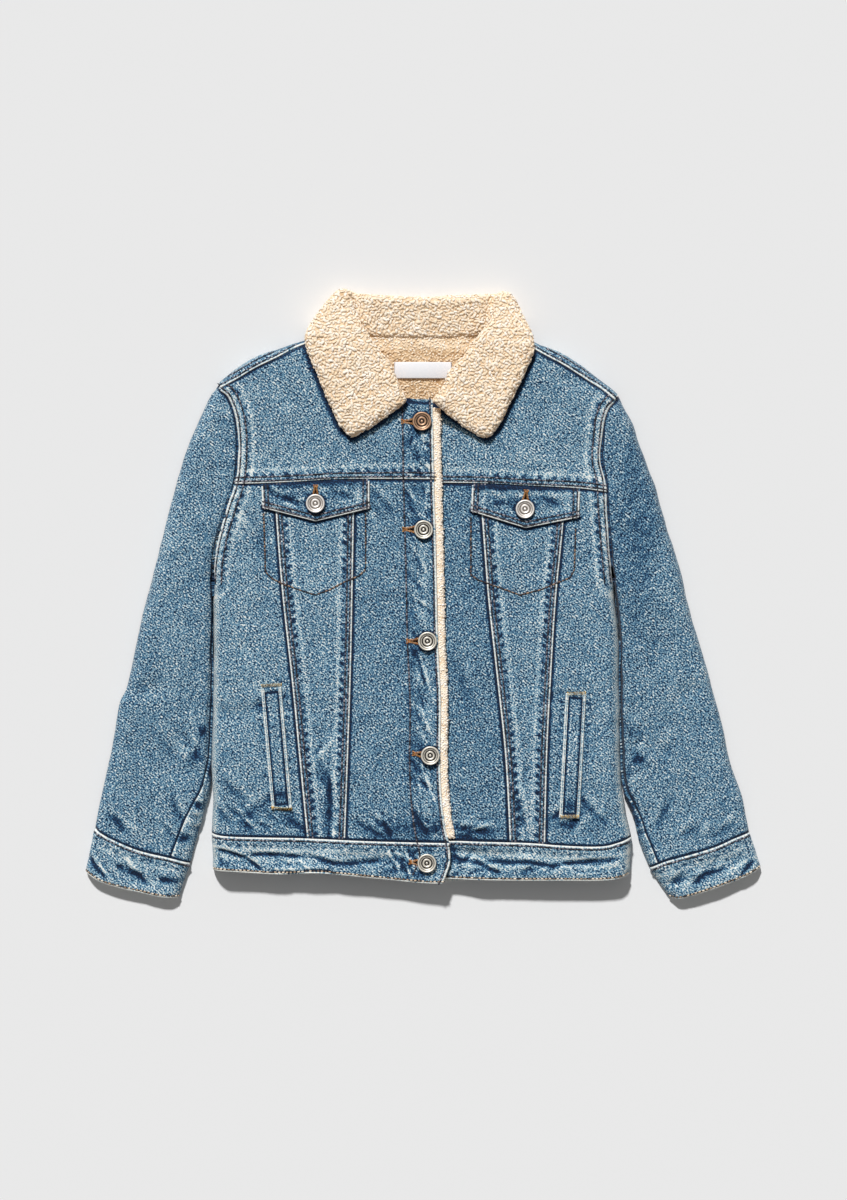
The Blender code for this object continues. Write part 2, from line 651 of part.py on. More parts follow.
def build_sleeve(side):
    """Top sleeve, under sleeve and cuff. The under sleeve lies on the floor and turns up."""
    height = lambda x, y: sleeve_top(side, x, y)
    patch = Patch(sleeve_armhole[side], cuff_seam[side], sleeve_outer[side], sleeve_inner[side])

    def strip(v):
        return between_rows(UNDER_STRIP[side], v)

    def place_top(u, v, inner):
        width = np.linalg.norm(patch.at(0, v) - patch.at(1, v))
        share = min(u, 1 - 0.001) * (1 - (strip(v) + PIECE_GAP) / width)
        x, y = patch.at(share, v)
        near = patch.at(max(share, CLEAR / width), v)
        return np.array([x, y, height(x, y)]) - inner * DENIM * facing(height, *near)

    across = stops(7, patch.width, near=FALL_STOPS, far=(0, 4, 9))
    down = drawn_in(stops(SLEEVE_ROWS), patch.depth)
    wall(f"top_sleeve_{side}", DENIM_BLUE, across, down, place_top)

    stations = [("floor", share) for share in stops(7)] + [("turn", row) for row in TURN[1:]]
    stations += [("climb", share) for share in (0.04, 0.15, 0.4, 0.7, 1.0)]

    def place_under(station, v, inner):
        kind, value = station
        if kind == "climb":
            kind, value = "top", value * (strip(v) - 1.5 * PIECE_GAP)
        return turned_up(patch, height, v, (kind, value), inner, DENIM)

    wall(f"under_sleeve_{side}", DENIM_BLUE, stations, down, place_under)
    build_cuff(side)


def build_cuff(side):
    """The cuff is a strip that goes right round, its ends meeting under the inner edge."""
    patch = Patch(cuff_seam[side], cuff_edge[side], cuff_outer[side], cuff_inner[side])
    other = Patch(Line(cuff_seam[side].points[::-1]), Line(cuff_edge[side].points[::-1]),
                  cuff_inner[side], cuff_outer[side])
    height = lambda x, y: cuff_top(side, x, y)
    round_over = (0.5, 2, 4.5, 8, 12.5)
    ring = [(patch, "turn", END_TURN)] + [(patch, "top", mm) for mm in round_over]
    ring += [(patch, "share", share) for share in np.linspace(0.2, 0.8, 6)]
    ring += [(other, "top", mm) for mm in reversed(round_over)]
    ring += [(other, "turn", row) for row in reversed(TURN)]
    ring += [(other, "floor", share) for share in (0.86, 0.72, 0.58, 0.44, 0.3, 0.15)]
    ring += [(patch, "turn", row) for row in TURN]

    def place(station, v, inner):
        plan, kind, value = station
        if kind == "share":
            kind, value = "top", value * np.linalg.norm(plan.at(0, v) - plan.at(1, v))
        return turned_up(plan, height, v, (kind, value), inner, BAND)

    down = drawn_in(stops(3), patch.depth, PIECE_GAP)
    wall(f"cuff_{side}", DENIM_BLUE, ring, down, place)


def build_flap(side):
    """A pointed chest flap, made from the front's own points and moved out."""
    upper, lower = Line(smooth(FLAP_TOP[side])), straight(FLAP_TIP[side])
    a, b = ([upper.at(k), lower.at(k)] for k in (0, 1))
    patch = Patch(upper, lower, straight(a), straight(b))
    laid(f"pocket_flap_{side}", DENIM_BLUE, patch, lambda x, y: body_top(side, x, y),
         drawn_in(stops(10), patch.width), drawn_in(stops(3), patch.depth, 2 * HALF_GAP),
         FLAP, lift=FLAP + PIECE_GAP)


def build_welt(side):
    """A hand pocket's welt, a narrow upright strip."""
    top, foot = (np.array([row.x, row.y], float) for row in WELT_LINE[side])
    along = (foot - top) / np.linalg.norm(foot - top)
    half = np.array([-along[1], along[0]]) * WELT_WIDTH / 2
    patch = Patch(straight([top - half, top + half]), straight([foot - half, foot + half]),
                  straight([top - half, foot - half]), straight([top + half, foot + half]))
    laid(f"welt_{side}", DENIM_BLUE, patch, lambda x, y: body_top(side, x, y), stops(2),
         stops(10), WELT, lift=WELT + PIECE_GAP)


def leaf_bed(x):
    """The level that a collar leaf lies on: clear of the fronts, and higher over the stand."""
    return CHEST + 2 * PIECE_GAP + (LIFT + PIECE_GAP) * ease(-abs(x), *LEAF_CLIMBS)


def past_body(x, y):
    """mm beyond the shoulders and the back of the neck, or 0 over the body."""
    edge = np.interp(x, neck_edge.points[:, 0], neck_edge.points[:, 1])
    return neck_edge.distance(x, y) if y > edge else 0.0


def build_collar():
    """Two leaves and the back of the neck, joined. The hidden layers are one rounded solid."""
    parts = []
    for side in SIDES:
        lines = [Line(smooth(table[side])) for table in (LEAF_FRONT, LEAF_TOP, ROLL, LEAF_OUTER)]
        leaf = Patch(*lines)

        def over(x, y, lines=lines):
            inside = min(line.distance(x, y) for line in lines)
            crown = LEAF_RIM + (LEAF - LEAF_RIM) * quarter(inside, LEAF_ROUND)
            return leaf_bed(x) + crown - LEAF_DROOP * ease(y, *LEAF_DROOPS)

        def under(x, y, over=over):
            if past_body(x, y) > CELL:
                return 0.0
            return min(leaf_bed(x), over(x, y) - LEAF_RIM)

        across = stops(4, leaf.width, near=(0, 1.5, 5), far=(0, 1.5, 5))
        down = stops(11, leaf.depth, near=(0, 1.5, 5), far=(0, 2, 6))
        parts.append(slab(f"leaf_{side}", PILE, leaf, across, down, under, over))
    seam, fold = Line(smooth(COLLAR_SEAM)), Line(smooth(COLLAR_FOLD))
    ends = [straight([fold.at(k), seam.at(k)]) for k in (0, 1)]
    back = Patch(fold, seam, *ends)

    def back_over(x, y):
        crown = COLLAR_FOOT + (COLLAR_BACK - COLLAR_FOOT) * ease(seam.distance(x, y), 0, COLLAR_RISES)
        return LEAF_RIM + (crown - LEAF_RIM) * quarter(fold.distance(x, y), LEAF_ROUND)

    down = stops(5, back.depth, near=(0, 1, 3.5))
    parts.append(slab("collar", PILE, back, stops(10), down, 0.0, back_over))
    collar = parts.pop()
    for part in parts:
        join = collar.modifiers.new(part.name, "BOOLEAN")
        join.operation, join.object = "UNION", part
        bpy.data.collections[JACKET].objects.unlink(part)
        bpy.data.collections[CUTTERS].objects.link(part)
        part.hide_render, part.display_type = True, "WIRE"


def build_neck():
    """The back's lining where it shows in the neck, and the blank label on it."""
    seam = Line(smooth(COLLAR_SEAM))
    upper = Line(seam.part(0.08, 0.92).points - [0, 1.0])
    foot = straight([upper.at(0) * [0.9, 0] + [0, LINING_FOOT], upper.at(1) * [0.9, 0] + [0, LINING_FOOT]])
    patch = Patch(upper, foot, straight([upper.at(0), foot.at(0)]), straight([upper.at(1), foot.at(1)]))

    def over(x, y):
        edge = min(patch.a.distance(x, y), patch.b.distance(x, y), foot.distance(x, y))
        return LINING_UNDER + LEAF_RIM / 2 + (LINING_TOP - LINING_UNDER - LEAF_RIM / 2) * quarter(edge, 6)

    across = stops(7, patch.width, near=(0, 1.5), far=(0, 1.5))
    slab("neck_lining", LINING, patch, across, stops(5, patch.depth, far=(0, 1.5, 5)), LINING_UNDER, over)
    label = box("neck_label", LABEL_WHITE, LABEL_SIZE)
    label.location = (LABEL_AT[0] * MM, LABEL_AT[1] * MM, (LINING_TOP + PIECE_GAP + LABEL_SIZE[2] / 2) * MM)


def box(name, material, size):
    sheet = bmesh.new()
    bmesh.ops.create_cube(sheet, size=1)
    bmesh.ops.scale(sheet, vec=[side * MM for side in size], verts=sheet.verts)
    return finish(name, material, sheet)


def build_front_edge_pile():
    """The pile that comes out along the wearer's right front, between the two fronts."""
    edge = front_edge["right"]
    top, foot = straight([(-40, PILE_TOP), (60, PILE_TOP)]), straight([(-40, PILE_FOOT), (60, PILE_FOOT)])
    inner = Line(edge.points - [PILE_HIDDEN, 0])
    outer = Line(edge.points + [PILE_SHOWN, 0])
    patch = Patch.cut(top, foot, inner, outer)

    def over(x, y):
        under_cloth = fronts("right", stand_edge(y), y) - DENIM - PIECE_GAP
        puffed = under_cloth + PILE_PUFF * ease(x - stand_edge(y), PIECE_GAP, PILE_SHOWN / 2)
        low = UNDER_FRONT + PIECE_GAP + PILE_EDGE
        sides = min(inner.distance(x, y), outer.distance(x, y))
        return low + (puffed - low) * quarter(sides, PILE_ROUND)

    across = stops(2, patch.width, near=(0, 1.2), far=(0, 1.2))
    slab("front_edge_pile", PILE, patch, across, stops(20), UNDER_FRONT + PIECE_GAP, over)


def build_buttons():
    """Shank buttons, each one turned profile, standing on the cloth under it."""
    profile = bpy.data.meshes.new("button")
    points = [(row.radius * MM, 0, row.height * MM) for row in BUTTON_PROFILE]
    profile.from_pydata(points, [(k, k + 1) for k in range(len(points) - 1)], [])
    profile.materials.append(BUTTON_METAL)
    places = [(f"button_{k + 1}", "right", at.x, at.y, 0.0, band_top if at.y < BAND_STARTS else body_top)
              for k, at in enumerate(BUTTONS)]
    places += [(f"flap_button_{side}", side, *at, FLAP + PIECE_GAP, body_top)
               for side, at in FLAP_BUTTONS.items()]
    for name, side, x, y, lift, height in places:
        button = bpy.data.objects.new(name, profile)
        bpy.data.collections[JACKET].objects.link(button)
        button.location = (x * MM, y * MM, (height(side, x, y) + lift + PIECE_GAP) * MM)
        turn = button.modifiers.new("turn", "SCREW")
        turn.steps = turn.render_steps = BUTTON_STEPS
        turn.use_merge_vertices = True
        turn.merge_threshold = 0.00001


def start():
    """An empty scene with the two collections."""
    for each in list(bpy.data.objects):
        bpy.data.objects.remove(each, do_unlink=True)
    for name in (JACKET, CUTTERS):
        bpy.context.scene.collection.children.link(bpy.data.collections.new(name))
    bpy.data.collections[CUTTERS].hide_render = True


def colour(name, red, green, blue, roughness, metallic=0.0):
    material = bpy.data.materials.new(name)
    material.use_nodes = True
    shader = material.node_tree.nodes["Principled BSDF"]
    shader.inputs["Base Color"].default_value = (red, green, blue, 1.0)
    shader.inputs["Roughness"].default_value = roughness
    shader.inputs["Metallic"].default_value = metallic
    return material


DENIM_BLUE = colour("washed_denim", 0.115, 0.215, 0.36, 0.85)
PILE = colour("cream_pile", 0.80, 0.66, 0.44, 0.95)
LINING = colour("tan_pile", 0.70, 0.46, 0.23, 0.95)
LABEL_WHITE = colour("label_satin", 0.85, 0.85, 0.83, 0.6)
BUTTON_METAL = colour("worn_nickel", 0.55, 0.52, 0.47, 0.35, 1.0)

start()
build_back()
for one_side in SIDES:
    build_front(one_side)
    build_sleeve(one_side)
    build_flap(one_side)
    build_welt(one_side)
build_collar()
build_neck()
build_front_edge_pile()
build_buttons()
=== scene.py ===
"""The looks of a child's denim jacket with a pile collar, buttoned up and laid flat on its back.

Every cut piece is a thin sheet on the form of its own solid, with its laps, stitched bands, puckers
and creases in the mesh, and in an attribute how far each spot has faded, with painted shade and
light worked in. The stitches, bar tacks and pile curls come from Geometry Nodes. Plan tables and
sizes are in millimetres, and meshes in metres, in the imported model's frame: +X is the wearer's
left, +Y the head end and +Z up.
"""

import logging
import math
from collections import namedtuple
from dataclasses import dataclass, field
from enum import Enum
from functools import partial
from itertools import product
from typing import Callable, Iterable, Sequence

import bmesh
import bpy
import numpy as np
from mathutils import Matrix, Vector
from mathutils.bvhtree import BVHTree


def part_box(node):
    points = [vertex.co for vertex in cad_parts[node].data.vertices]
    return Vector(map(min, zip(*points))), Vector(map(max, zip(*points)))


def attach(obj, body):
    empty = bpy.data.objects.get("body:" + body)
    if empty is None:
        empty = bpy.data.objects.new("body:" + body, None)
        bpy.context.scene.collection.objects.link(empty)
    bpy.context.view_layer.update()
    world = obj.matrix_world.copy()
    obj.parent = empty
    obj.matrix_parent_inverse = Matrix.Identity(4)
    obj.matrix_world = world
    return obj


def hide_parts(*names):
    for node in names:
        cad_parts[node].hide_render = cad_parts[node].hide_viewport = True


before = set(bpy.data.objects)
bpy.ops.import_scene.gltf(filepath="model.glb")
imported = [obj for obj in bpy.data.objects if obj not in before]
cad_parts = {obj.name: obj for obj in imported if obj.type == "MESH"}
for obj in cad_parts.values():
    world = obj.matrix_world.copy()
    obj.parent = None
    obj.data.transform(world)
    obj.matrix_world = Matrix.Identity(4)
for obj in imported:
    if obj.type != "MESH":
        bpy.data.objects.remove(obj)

Array, Node, Material, Piece = np.ndarray, bpy.types.Node, bpy.types.Material, bpy.types.Object
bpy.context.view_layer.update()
LOG = logging.getLogger("jacket")
MM = 0.001
BODY = "root"
SEED = 11

# Heights of the laid garment, as its solids have them.
DENIM, FLAP, WELT = 1.6, 1.8, 1.2
CHEST, SLEEVE_MIDDLE, SLEEVE_END = 18.8, 14.5, 10.8
SLEEVE_SETTLES = 150.0
SLEEVE_TAPERS = (60.0, 230.0)
BAND_PROUD, CUFF_PROUD = 1.0, 0.7
LOWEST_EDGE = DENIM + 0.6
BODY_ROUND = 11.0
LIFT, LIFT_STARTS, LIFT_EASES = 3.4, 44.0, (190.0, 225.0)
UNDER_FRONT, UNDER_FRONT_RISES = 14.6, 28.0
TURN_INSET, TURN_RISE, TURN_LOOK = 3.2, 2.9, 4.0
PIECE_GAP = 0.4
TURNING = 4.0  # what a maker leaves at each side of a cut piece, beyond what its fold takes
FLOOR_PLAY = 0.25
WELT_WIDTH, WELT_REACH = 18.5, 4.0
NECK_HALF = (63.0, 77.0)
SIDES = {"right": -1, "left": 1}
ENDS = ("upper", "lower", "a", "b")
MIDDLE_WASH = 0.445
ROW_STEP = 1.5  # mm between the places at which a row of stitches looks for the cloth
SIGHT = 100.0  # mm over the floor, from where it looks down
# mm from a button's middle over which its painted shade fades out
BUTTON_SHADE_REACH = (8.6, 10.6)


def rows(columns: str, *values: Sequence[float]) -> list:
    """A table with a named tuple for each sequence of values, its columns named with spaces between."""
    row = namedtuple("Row", columns)
    return [row(*each) for each in values]


def pair(right: Sequence, left: Sequence, columns: str = "x y") -> dict[str, list]:
    """A table for each side of the garment."""
    return {"right": rows(columns, *right), "left": rows(columns, *left)}


def zoned(columns: str, **zones: Sequence) -> dict[str, list]:
    """A table for each zone of the cloth."""
    return {zone: rows(columns, *values) for zone, values in zones.items()}


# The seams and edges of the plan, from the shoulder down or from the outside in.
SHOULDER_EDGE = pair(
    ((-70, 247), (-90, 238), (-105, 230), (-127, 223), (-151, 215), (-165, 207), (-178, 197), (-184.5, 190)),
    ((70, 247), (88, 237), (103, 227), (123, 219), (143, 207), (160, 194), (171, 185), (176.5, 179.5)),
)
SHOULDER_SEAM = pair(
    ((-70, 240), (-108, 225), (-129, 214), (-148, 205), (-165, 195), (-186, 184)),
    ((70, 240), (101, 220), (123, 208), (141, 197), (159, 186), (176, 172)),
)
ARMHOLE = pair(
    ((-184.5, 190), (-183, 184.5), (-175.5, 178), (-169, 162), (-166.5, 144), (-166.5, 121), (-169, 100),
     (-175.5, 81), (-183.5, 54), (-188, 30), (-189, 12)),
    ((176.5, 179.5), (173, 174), (167, 168), (163, 157), (161, 139), (160, 121), (164, 103), (165.5, 77),
     (167.5, 50), (169.5, 28), (171, 13)),
)
SIDE_SEAM = pair(
    ((-189, 12), (-189, -40), (-189, -94), (-191, -150), (-189, -184), (-191, -218)),
    ((171, 13), (177, -40), (177, -76), (178, -130), (179, -171), (183.5, -198), (188, -220)),
)
BAND_SIDE = pair(
    ((-191, -205), (-191, -214), (-190, -232), (-189, -258)),
    ((186, -205), (188, -217), (187.5, -235), (184, -262)),
)
YOKE_SEAM = pair(
    ((-185, 99.5), (-147, 100), (-111, 101.5), (-75, 103.5), (-21, 104), (20, 103.5)),
    ((185, 89), (150, 94.5), (123, 96.5), (87, 98), (51, 100), (-20, 101.5)),
)
WAIST_SEAM = pair(
    ((-200, -213), (-174, -217), (-111, -218.5), (-39, -221.5), (40, -223)),
    ((196, -215), (177, -222), (159, -226), (123, -225), (87, -222.5), (-20, -220)),
)
HEM = pair(
    ((-200, -247), (-165, -249), (-129, -251), (-93, -250), (-39, -255), (6, -259), (40, -258)),
    ((200, -247), (177, -254.5), (159, -256.5), (123, -256.5), (69, -256.5), (-20, -254)),
)
OUTER_TAPER = pair(
    ((-134, 120), (-132, 69), (-126, -4), (-118, -76), (-111, -148), (-102.5, -235)),
    ((129, 120), (126, 63), (119.5, -4), (115, -76), (111.5, -148), (109.5, -235)),
)
INNER_TAPER = pair(
    ((-61, 120), (-62, 69), (-64, -40), (-66, -112), (-70.5, -235)),
    ((49, 120), (53, 67), (58.5, -4), (66.5, -76), (74, -148), (78.5, -235)),
)
FRONT_EDGE = pair(
    ((9, 190), (9, 173), (10, 104), (12, 32), (13.5, -40), (16, -94), (15.5, -148), (17, -184), (20.5, -211),
     (23.5, -223), (24.5, -239), (20.5, -252), (16, -262)),
    ((-11, 190), (-12, 104), (-10, -94), (-8, -262)),
)
NECKLINE = pair(
    ((-72, 240), (-71, 228), (-62, 210), (-46, 191), (-28, 178), (-12, 174), (14, 172.5)),
    ((72, 239), (71, 226), (62, 209), (46, 190), (28, 178), (8, 173), (-16, 172.5)),
)
BACK_NECK = rows("x y", (-70, 247), (-60, 236), (-45, 231), (0, 229.5), (45, 231), (60, 236), (70, 247))
BACK_YOKE_SEAM = rows("x y", (-200, 126), (0, 118), (200, 124))
SLEEVE_OUTER = pair(
    ((-184.5, 190), (-196, 171), (-211.5, 135), (-223, 99), (-232, 63), (-241, 27), (-251, -9), (-259, -45),
     (-267, -82), (-274, -100), (-280, -135), (-288, -171), (-296, -210)),
    ((176.5, 179.5), (180, 171), (189, 153), (194.5, 135), (209, 99), (219, 63), (231, 27), (238.5, -9),
     (250, -45), (260, -81), (270, -117), (277, -150), (287, -180), (294.5, -214)),
)
SLEEVE_INNER = pair(
    ((-187.6, 11), (-187.2, -60), (-187.6, -94), (-189.6, -150), (-191.6, -178), (-197, -196), (-204, -220),
     (-210, -242)),
    ((170, 12), (175.6, -40), (175.8, -76), (176.8, -130), (179.6, -171), (186, -190), (191.5, -207),
     (195.5, -225), (204.5, -246)),
)
CUFF_SEAM = pair(
    ((-296, -210), (-291, -214), (-277, -221.5), (-255, -230.5), (-228, -237), (-210, -242)),
    ((294.5, -214), (281, -219), (263, -227), (240, -234), (218, -240), (204.5, -246)),
)
CUFF_OUTER = pair(
    ((-296, -210), (-301.5, -234), (-304, -250)),
    ((294.5, -214), (299, -226), (305, -246)),
)
CUFF_INNER = pair(
    ((-210, -242), (-216, -258), (-221, -273)),
    ((204.5, -246), (213.5, -260), (223, -273)),
)
CUFF_EDGE = pair(
    ((-304, -250), (-291, -258.5), (-273, -264), (-255, -268), (-237, -272), (-221, -273)),
    ((305, -246), (290, -254), (267, -263), (245, -270.5), (231, -274), (223, -273)),
)
# How far the under sleeve comes up over the inner edge, along the sleeve.
UNDER_STRIP = pair(
    ((0, 1.5), (0.62, 1.5), (0.75, 9), (0.87, 15), (1, 18)),
    ((0, 1.5), (0.68, 1.5), (0.82, 5), (0.93, 9), (1, 8)),
    columns="share width",
)
# How much of the edge's round shows where the sleeve is sewn in: a crease at the top, all at the underarm.
ARMHOLE_FALL = rows("y fall", (-20, 1.0), (14, 0.8), (34, 0.35), (60, 0.2), (100, 0.14), (200, 0.12))

FLAP_TOP = pair(
    ((-145, 97), (-100, 100), (-48, 103)),
    ((141, 95.5), (95, 97), (44, 98.5)),
)
# mm inside a flap's free edges at which it is sewn
FLAP_ROWS = (2.2, 5.6)
FLAP_TIP = pair(
    ((-144, 78), (-96.5, 65.5), (-48, 77.5)),
    ((140, 69.5), (92, 59.5), (43, 75)),
)
WELT_LINE = pair(
    ((-136, -87.5), (-127, -188)),
    ((137, -92.5), (131.5, -196.5)),
)

# The half width between the collar's leaves, up the neck.
COLLAR_OPENING = ((200, 28.0), (214, 37.0), (234, 49.0), (250, 57.0), (272, 63.0))
# The waves that the pile's lumps are made of, in mm.
LUMPS = rows("shortest longest amount count", (4.2, 7.5, 0.6, 16), (9.0, 18.0, 0.4, 12))
BUTTONS = rows("x y", (-1, 155.7), (0.5, 58.5), (4, -41.5), (6.5, -144), (3.5, -240.5))
FLAP_BUTTONS = {"right": (-96.5, 82), "left": (91.5, 77)}
# The largest folds: soft troughs from one point to another.
FOLDS = rows(
    "x0 y0 x1 y1 depth width",
    (-190, -229, -142, -246, 2.4, 5.5), (-160, -231, -92, -236, 1.6, 5.0), (-80, -236, -20, -238, 1.8, 5.0),
    (28, -231, 90, -238, 2.0, 5.0), (100, -238, 165, -240, 1.6, 5.0), (36, -229, 70, -255, 1.2, 5.0),
    (-298, -231, -287, -255, 1.6, 5.0), (-274, -244, -246, -266, 1.8, 5.5), (218, -262, 240, -251, 1.6, 5.0),
    (245, -248, 296, -235, 1.8, 5.5), (-272, -90, -232, -82, 1.6, 8.0), (252, -84, 226, -92, 1.4, 8.0),
    (-186, -110, -150, -104, 1.2, 8.0),
)


# Smaller creases and ridges, by what they lie on. A trough has a depth over 0 and a ridge one under 0.
CREASES = zoned(
    "x0 y0 x1 y1 depth width",
    body=(
        (-184, -162, -150, -196, 0.7, 4.0), (-176, -190, -150, -214, 1.2, 3.2),
        (-165, -206, -122, -176, 0.7, 4.0), (-140, -178, -108, -206, 1.1, 3.2),
        (-128, -196, -104, -214, 1.1, 2.8), (-96, -140, -84, -172, 0.7, 3.0), (-87, -150, -85, -222, 1.8, 2.8),
        (-62, -200, -44, -214, 0.9, 2.8), (-46, -198, -26, -220, 1.6, 2.8), (-98, -150, -80, -128, -0.7, 2.4),
        (-150, 60, -132, 20, 0.4, 7.0), (-52, 96, -24, 70, 0.8, 3.6), (-58, 90, -40, 62, -0.5, 3.0),
        (-156, -102, -126, -92, 1.0, 3.6), (-150, -110, -124, -104, -0.6, 2.6),
        (-140, 196, -112, 150, -0.12, 6.0), (-120, 130, -150, 112, 0.3, 6.0), (132, 186, 108, 142, -0.12, 6.0),
        (118, 128, 146, 108, 0.3, 6.0), (30, -210, 62, -212, 1.6, 2.8), (28, -217, 50, -219, 1.3, 2.0),
        (84, -170, 92, -216, 1.6, 2.8), (112, -204, 136, -180, 0.8, 3.2), (138, -176, 166, -206, 1.0, 3.4),
        (118, 90, 140, 80, 0.8, 3.2), (44, 92, 62, 66, 0.6, 4.0), (28, -60, 44, -110, 0.4, 6.0),
    ),
    flap=(
        (-142, 95, -104, 80, 1.0, 2.8), (-80, 92, -58, 84, 0.8, 3.0), (-130, 88, -112, 76, -0.6, 2.4),
        (46, 94, 84, 78, 0.8, 2.6), (106, 88, 124, 80, 1.0, 3.0), (56, 94, 80, 82, -0.5, 2.4),
    ),
    stand=(
        (-20, 98, -6, 74, 0.6, 2.4), (-18, 26, 2, 2, 0.4, 2.6), (-14, -92, 8, -124, 0.5, 2.4),
        (-12, -186, 8, -218, 1.1, 2.6), (-14, 142, -2, 112, 0.6, 2.8), (-4, 168, -10, 146, 0.6, 2.6),
    ),
    band=(
        (-32, -228, -23, -242, -1.2, 1.5), (-23, -242, -19, -252, -1.0, 1.5), (-14, -228, -20, -244, 0.9, 2.4),
        (-186, -232, -176, -246, 0.8, 2.4), (-166, -222, -163, -232, 0.7, 2.0),
        (176, -222, 178, -232, 0.7, 2.0), (24, -224, 30, -234, 1.2, 2.4),
    ),
    sleeve=(
        (-198, 146, -184, 100, 0.2, 4.0), (-212, 84, -192, 56, 0.25, 4.0), (-196, -118, -206, -150, 0.4, 3.0),
        (-198, -134, -214, -154, 0.4, 3.0), (-246, -120, -222, -150, 0.4, 5.0),
        (-228, -176, -212, -210, 0.8, 3.6), (-288, -196, -262, -216, 0.7, 3.6), (186, 146, 178, 98, 0.2, 4.0),
        (206, 80, 186, 50, 0.25, 4.0), (186, -122, 196, -154, 0.4, 3.0), (190, -140, 208, -158, 0.4, 3.0),
        (238, -122, 212, -152, 0.4, 5.0), (222, -180, 206, -214, 0.8, 3.6), (284, -200, 256, -220, 0.7, 3.6),
    ),
    under=(
        (-212, -186, -198, -192, 1.4, 3.0), (-222, -216, -208, -221, 1.4, 3.2),
        (-214, -200, -206, -206, -0.6, 2.4), (212, -192, 200, -198, 1.3, 3.0), (218, -222, 204, -226, 1.3, 3.2),
    ),
    cuff=(
        (-252, -236, -246, -246, 0.8, 2.0), (-292, -240, -284, -252, -1.0, 1.4),
        (222, -262, 236, -254, 1.4, 2.6), (288, -246, 280, -256, -1.0, 1.4),
    ),
)
# Long folds: how deep, how wide, how much darker in the trough and paler on the ridge above it, and where.
FOLD_LINES = zoned(
    "depth width dark pale line",
    stand=(
        (0.6, 1.3, 0.2, 0.6, ((-6, -49), (-2.4, -63), (4.5, -88))),
        (0.4, 1.2, 0.1, 0.3, ((9, -57), (11, -68), (12.6, -82))),
        (0.6, 1.3, 0.2, 0.62, ((-5, -147.6), (1, -166), (10.3, -190))),
        (0.4, 1.2, 0.14, 0.3, ((-9, -150), (-4, -180), (2.2, -210))),
        (0.4, 1.3, 0.16, 0.42, ((-15.3, 93.6), (-11, 86), (-6.8, 80.5))),
        (0.3, 1.3, 0.1, 0.36, ((1.5, 99), (0.9, 90), (0, 77))),
        (0.5, 1.2, 0.16, 0.44, ((-17, 51), (-6.3, 35), (4.5, 13.5))),
        (0.4, 1.3, 0.14, 0.36, ((-11.7, -9), (-7, -18), (-2.7, -30))),
        (0.4, 1.3, 0.14, 0.34, ((-9, 143), (-11.5, 133), (-8, 124))),
        (0.4, 1.2, 0.14, 0.34, ((-3, 146), (-1, 135), (1, 126))),
        (0.4, 1.2, 0.14, 0.28, ((-12, 6), (-8, -8), (2, -34))),
        (0.4, 1.2, 0.14, 0.28, ((-4, -100), (2, -118), (10, -134))),
        (0.4, 1.2, 0.14, 0.28, ((-14, -94), (-8, -112), (-4, -130))),
    ),
    band=(
        (1.4, 1.7, 0.7, 0.2, ((-159, -233.5), (-139.5, -232.8), (-120.6, -234), (-104, -236))),
        (1.6, 2.0, 0.75, 0.2, ((-107, -234), (-89, -238), (-79, -240.6), (-57.6, -240.3), (-33, -237.2))),
        (1.3, 1.6, 0.7, 0.34, ((-190, -228.4), (-177, -230.4), (-161, -235.6), (-152, -241.4), (-142, -248))),
        (1.0, 1.5, 0.6, 0.16, ((-141, -247), (-118, -249.4), (-95.4, -247.4), (-72, -251.6))),
        (1.5, 1.9, 0.75, 0.2,
         ((50, -236.6), (76.5, -239.8), (94.5, -240), (117, -243.5), (130, -241), (157.5, -238.5), (186, -235.2))),
        (1.4, 1.8, 0.65, 0.34, ((25, -232), (34, -237.6), (48, -239.5), (60, -246), (74, -251.4))),
        (-1.0, 1.2, -0.3, -0.25, ((119.7, -239), (129.7, -243.5), (138.6, -250.5), (149, -249.8))),
        (-0.9, 1.2, -0.3, -0.2, ((171.4, -237.2), (176, -243), (180.2, -248.6))),
    ),
    cuff=(
        (1.7, 2.6, 0.75, 0.2, ((-279, -242), (-268, -247), (-257, -253), (-245.7, -261.5))),
        (1.4, 2.4, 0.65, 0.16, ((-239, -255), (-230, -257), (-219, -259.5))),
        (1.3, 1.8, 0.7, 0.26, ((-301, -234), (-294.5, -244.8), (-284, -256))),
        (0.5, 0.8, 0.5, 0.1, ((-292.5, -217.5), (-294.5, -222.5), (-296, -229))),
        (1.7, 2.6, 0.75, 0.2, ((241, -262), (252, -254), (263, -249), (276, -245))),
        (1.3, 2.0, 0.7, 0.26, ((299, -238), (291, -246), (283, -255))),
        (0.5, 0.8, 0.5, 0.1, ((290, -221), (292, -226), (294, -232))),
    ),
)
